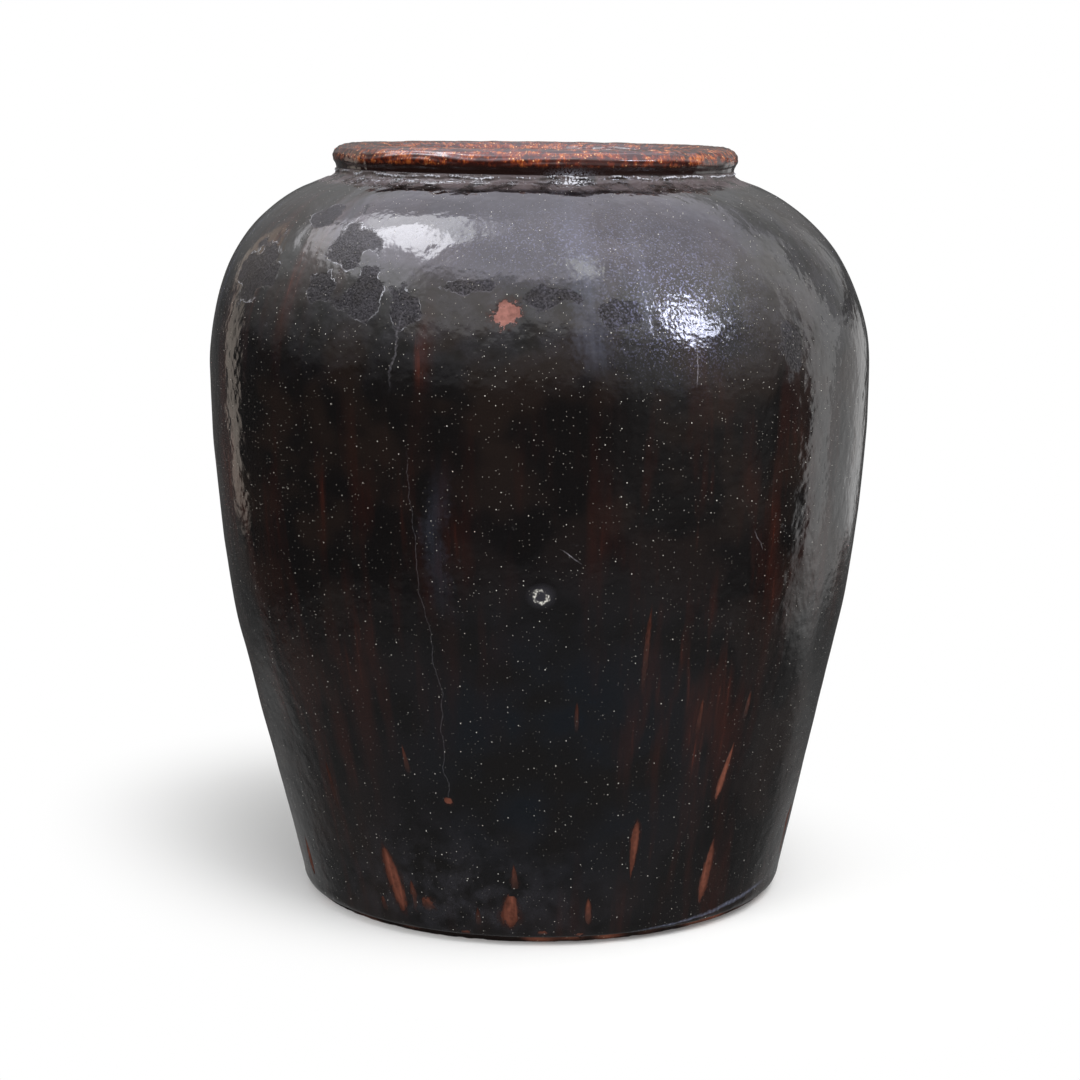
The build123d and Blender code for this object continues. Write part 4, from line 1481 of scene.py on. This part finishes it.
@dataclass(frozen=True)
class Lamp:
    """Soft square lamp that lights matte surfaces and leaves no shape in the glaze."""

    name: str
    place: tuple[float, float, float]
    size: float
    power: float

    def build(self, aim: tuple[float, float, float] = (0.0, 0.0, 0.3)) -> None:
        """Hang the lamp and aim it at the jar."""
        data = bpy.data.lights.new(self.name, "AREA")
        data.size = self.size
        data.energy = self.power
        lamp = bpy.data.objects.new(self.name, data)
        lamp.location = self.place
        away = Vector(self.place) - Vector(aim)
        lamp.rotation_euler = away.to_track_quat("Z", "Y").to_euler()
        lamp.visible_glossy = False
        bpy.context.scene.collection.objects.link(lamp)


def seen_or_mirrored(tree: bpy.types.NodeTree) -> bpy.types.NodeSocket:
    """1 for rays from the camera or a mirror, 0 for those that only light matte surfaces."""
    path = add(tree, "LightPath").outputs
    seen = add(tree, "Math", {0: path["Is Camera Ray"], 1: path["Is Glossy Ray"]}, operation="MAXIMUM").outputs[0]
    return add(tree, "Math", {0: seen, 1: path["Is Transmission Ray"]}, operation="MAXIMUM").outputs[0]


@dataclass
class Studio:
    """Pale floor, plain world, soft lamps and the camera at the photograph's angle."""

    floor_size: float = 24.0
    floor_paint: str = "#f7f7f6"
    floor_lift: float = 0.07
    floor_fade: tuple[float, float] = (0.18, 0.47)
    shadow_place: tuple[float, float, float] = (-0.035, 0.065, 0.0)
    shadow_turn: float = 37.0
    shadow_stretch: float = 1.6
    world_level: float = 0.45
    lamps: tuple[Lamp, ...] = (
        Lamp("overhead_right", (1.2, -1.3, 3.0), 2.4, 84.0),
        Lamp("key_left_front", (-2.0, -2.6, 2.3), 1.6, 24.0),
        Lamp("front_fill", (0.5, -3.8, 1.1), 2.0, 28.0),
    )
    lens: float = 88.5
    eye: tuple[float, float, float] = (0.0, -2.848, 0.856)
    look_down: float = 9.59

    def floor(self) -> bpy.types.Object:
        """Wide pale floor that keeps the jar's shadow and stays out of the glaze."""
        made, tree = empty_material("studio_paper_white")
        place = add(tree, "TexCoord").outputs["Object"]
        tooth = add(tree, "TexNoise", {"Vector": place, "Scale": 900.0, "Detail": 2.0})
        bump = add(tree, "Bump", {"Strength": 0.1, "Distance": 0.0005, "Height": tooth.outputs[0]})
        paper = add(tree, "BsdfDiffuse", {"Color": linear(self.floor_paint), "Normal": bump.outputs[0]})
        seen = seen_or_mirrored(tree)
        turned = add(tree, "Mapping", {
            "Vector": place, "Location": self.shadow_place, "Rotation": (0.0, 0.0, math.radians(self.shadow_turn)),
            "Scale": (1.0, self.shadow_stretch, 1.0),
        }, vector_type="TEXTURE")
        away = add(tree, "VectorMath", {0: turned.outputs[0]}, operation="LENGTH").outputs["Value"]
        near, far = self.floor_fade
        reach = {"Value": away, "From Min": near, "From Max": far}
        away = add(tree, "MapRange", reach, interpolation_type="SMOOTHSTEP").outputs[0]
        share = add(tree, "Math", {0: away, 1: seen}, operation="MULTIPLY").outputs[0]
        lift = add(tree, "Math", {0: seen, 1: self.floor_lift}, operation="MULTIPLY")
        light = add(tree, "Emission", {"Strength": lift.outputs[0]})
        both = add(tree, "AddShader", {0: paper.outputs[0], 1: light.outputs[0]})
        white = add(tree, "Emission", {"Strength": 1.0})
        whole = add(tree, "MixShader", {0: share, 1: both.outputs[0], 2: white.outputs[0]})
        add(tree, "OutputMaterial", {"Surface": whole.outputs[0]})
        made.cycles.emission_sampling = "NONE"
        reach = self.floor_size / 2
        mesh = bpy.data.meshes.new("studio_floor")
        square = [(-reach, -reach, 0), (reach, -reach, 0), (reach, reach, 0), (-reach, reach, 0)]
        mesh.from_pydata(square, [], [(0, 1, 2, 3)])
        mesh.materials.append(made)
        floor = bpy.data.objects.new("studio_floor", mesh)
        floor.location.z = -0.0003
        floor.visible_glossy = False
        bpy.context.scene.collection.objects.link(floor)
        return floor

    def world(self) -> None:
        """White where it is seen or mirrored, and plain soft light elsewhere."""
        world = bpy.data.worlds.new("studio_surround")
        bpy.context.scene.world = world
        world.use_nodes = True
        tree = world.node_tree
        tree.nodes.clear()
        seen = seen_or_mirrored(tree)
        level = add(tree, "MapRange", {"Value": seen, "To Min": self.world_level, "To Max": 1.0}).outputs[0]
        surround = add(tree, "Background", {"Color": (1.0, 1.0, 1.0, 1.0), "Strength": level})
        add(tree, "OutputWorld", {"Surface": surround.outputs[0]})

    def camera(self) -> None:
        """Camera at the photograph's height and angle."""
        data = bpy.data.cameras.new("camera")
        data.lens = self.lens
        data.clip_end = 60.0
        eye = bpy.data.objects.new("camera", data)
        eye.location = self.eye
        eye.rotation_euler = (math.radians(90 - self.look_down), 0.0, 0.0)
        bpy.context.scene.collection.objects.link(eye)
        bpy.context.scene.camera = eye

    def build(self) -> None:
        """Set everything up."""
        self.camera()
        self.world()
        self.floor()
        for lamp in self.lamps:
            lamp.build()
        MirroredRoom().build()
        log.info("studio ready")


def main() -> None:
    """Build the jar, its finishes and its place, and note its size."""
    logging.basicConfig(level=logging.INFO, format="%(name)s: %(message)s")
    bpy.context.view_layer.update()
    bpy.context.scene.view_settings.view_transform = "Standard"
    Studio().build()
    section, form = Section(), HandmadeForm()
    BodyGlaze(section, form).build(DarkGlaze().material())
    LipCoat(section, form).build(LipGlaze().material())
    WashCoat(section, form).build(InsideWash().material())
    FootSlab(section, form).build(BareClay("foot_stoneware_gritty", "#7b4a39", "#5c3427").material())
    wall = BareClay("wall_stoneware_fired", "#8a6351", "#744c3c")
    slip = BareClay("luting_slip_fired", "#94705c", "#7f5a49", grit=0.8, grit_height=0.06)
    pieces = HiddenClay(form, frame["nodes"]).build(wall.material(), slip.material())
    log.info("%d clay pieces under the coats", len(pieces))


if __name__ == "__main__":
    main()
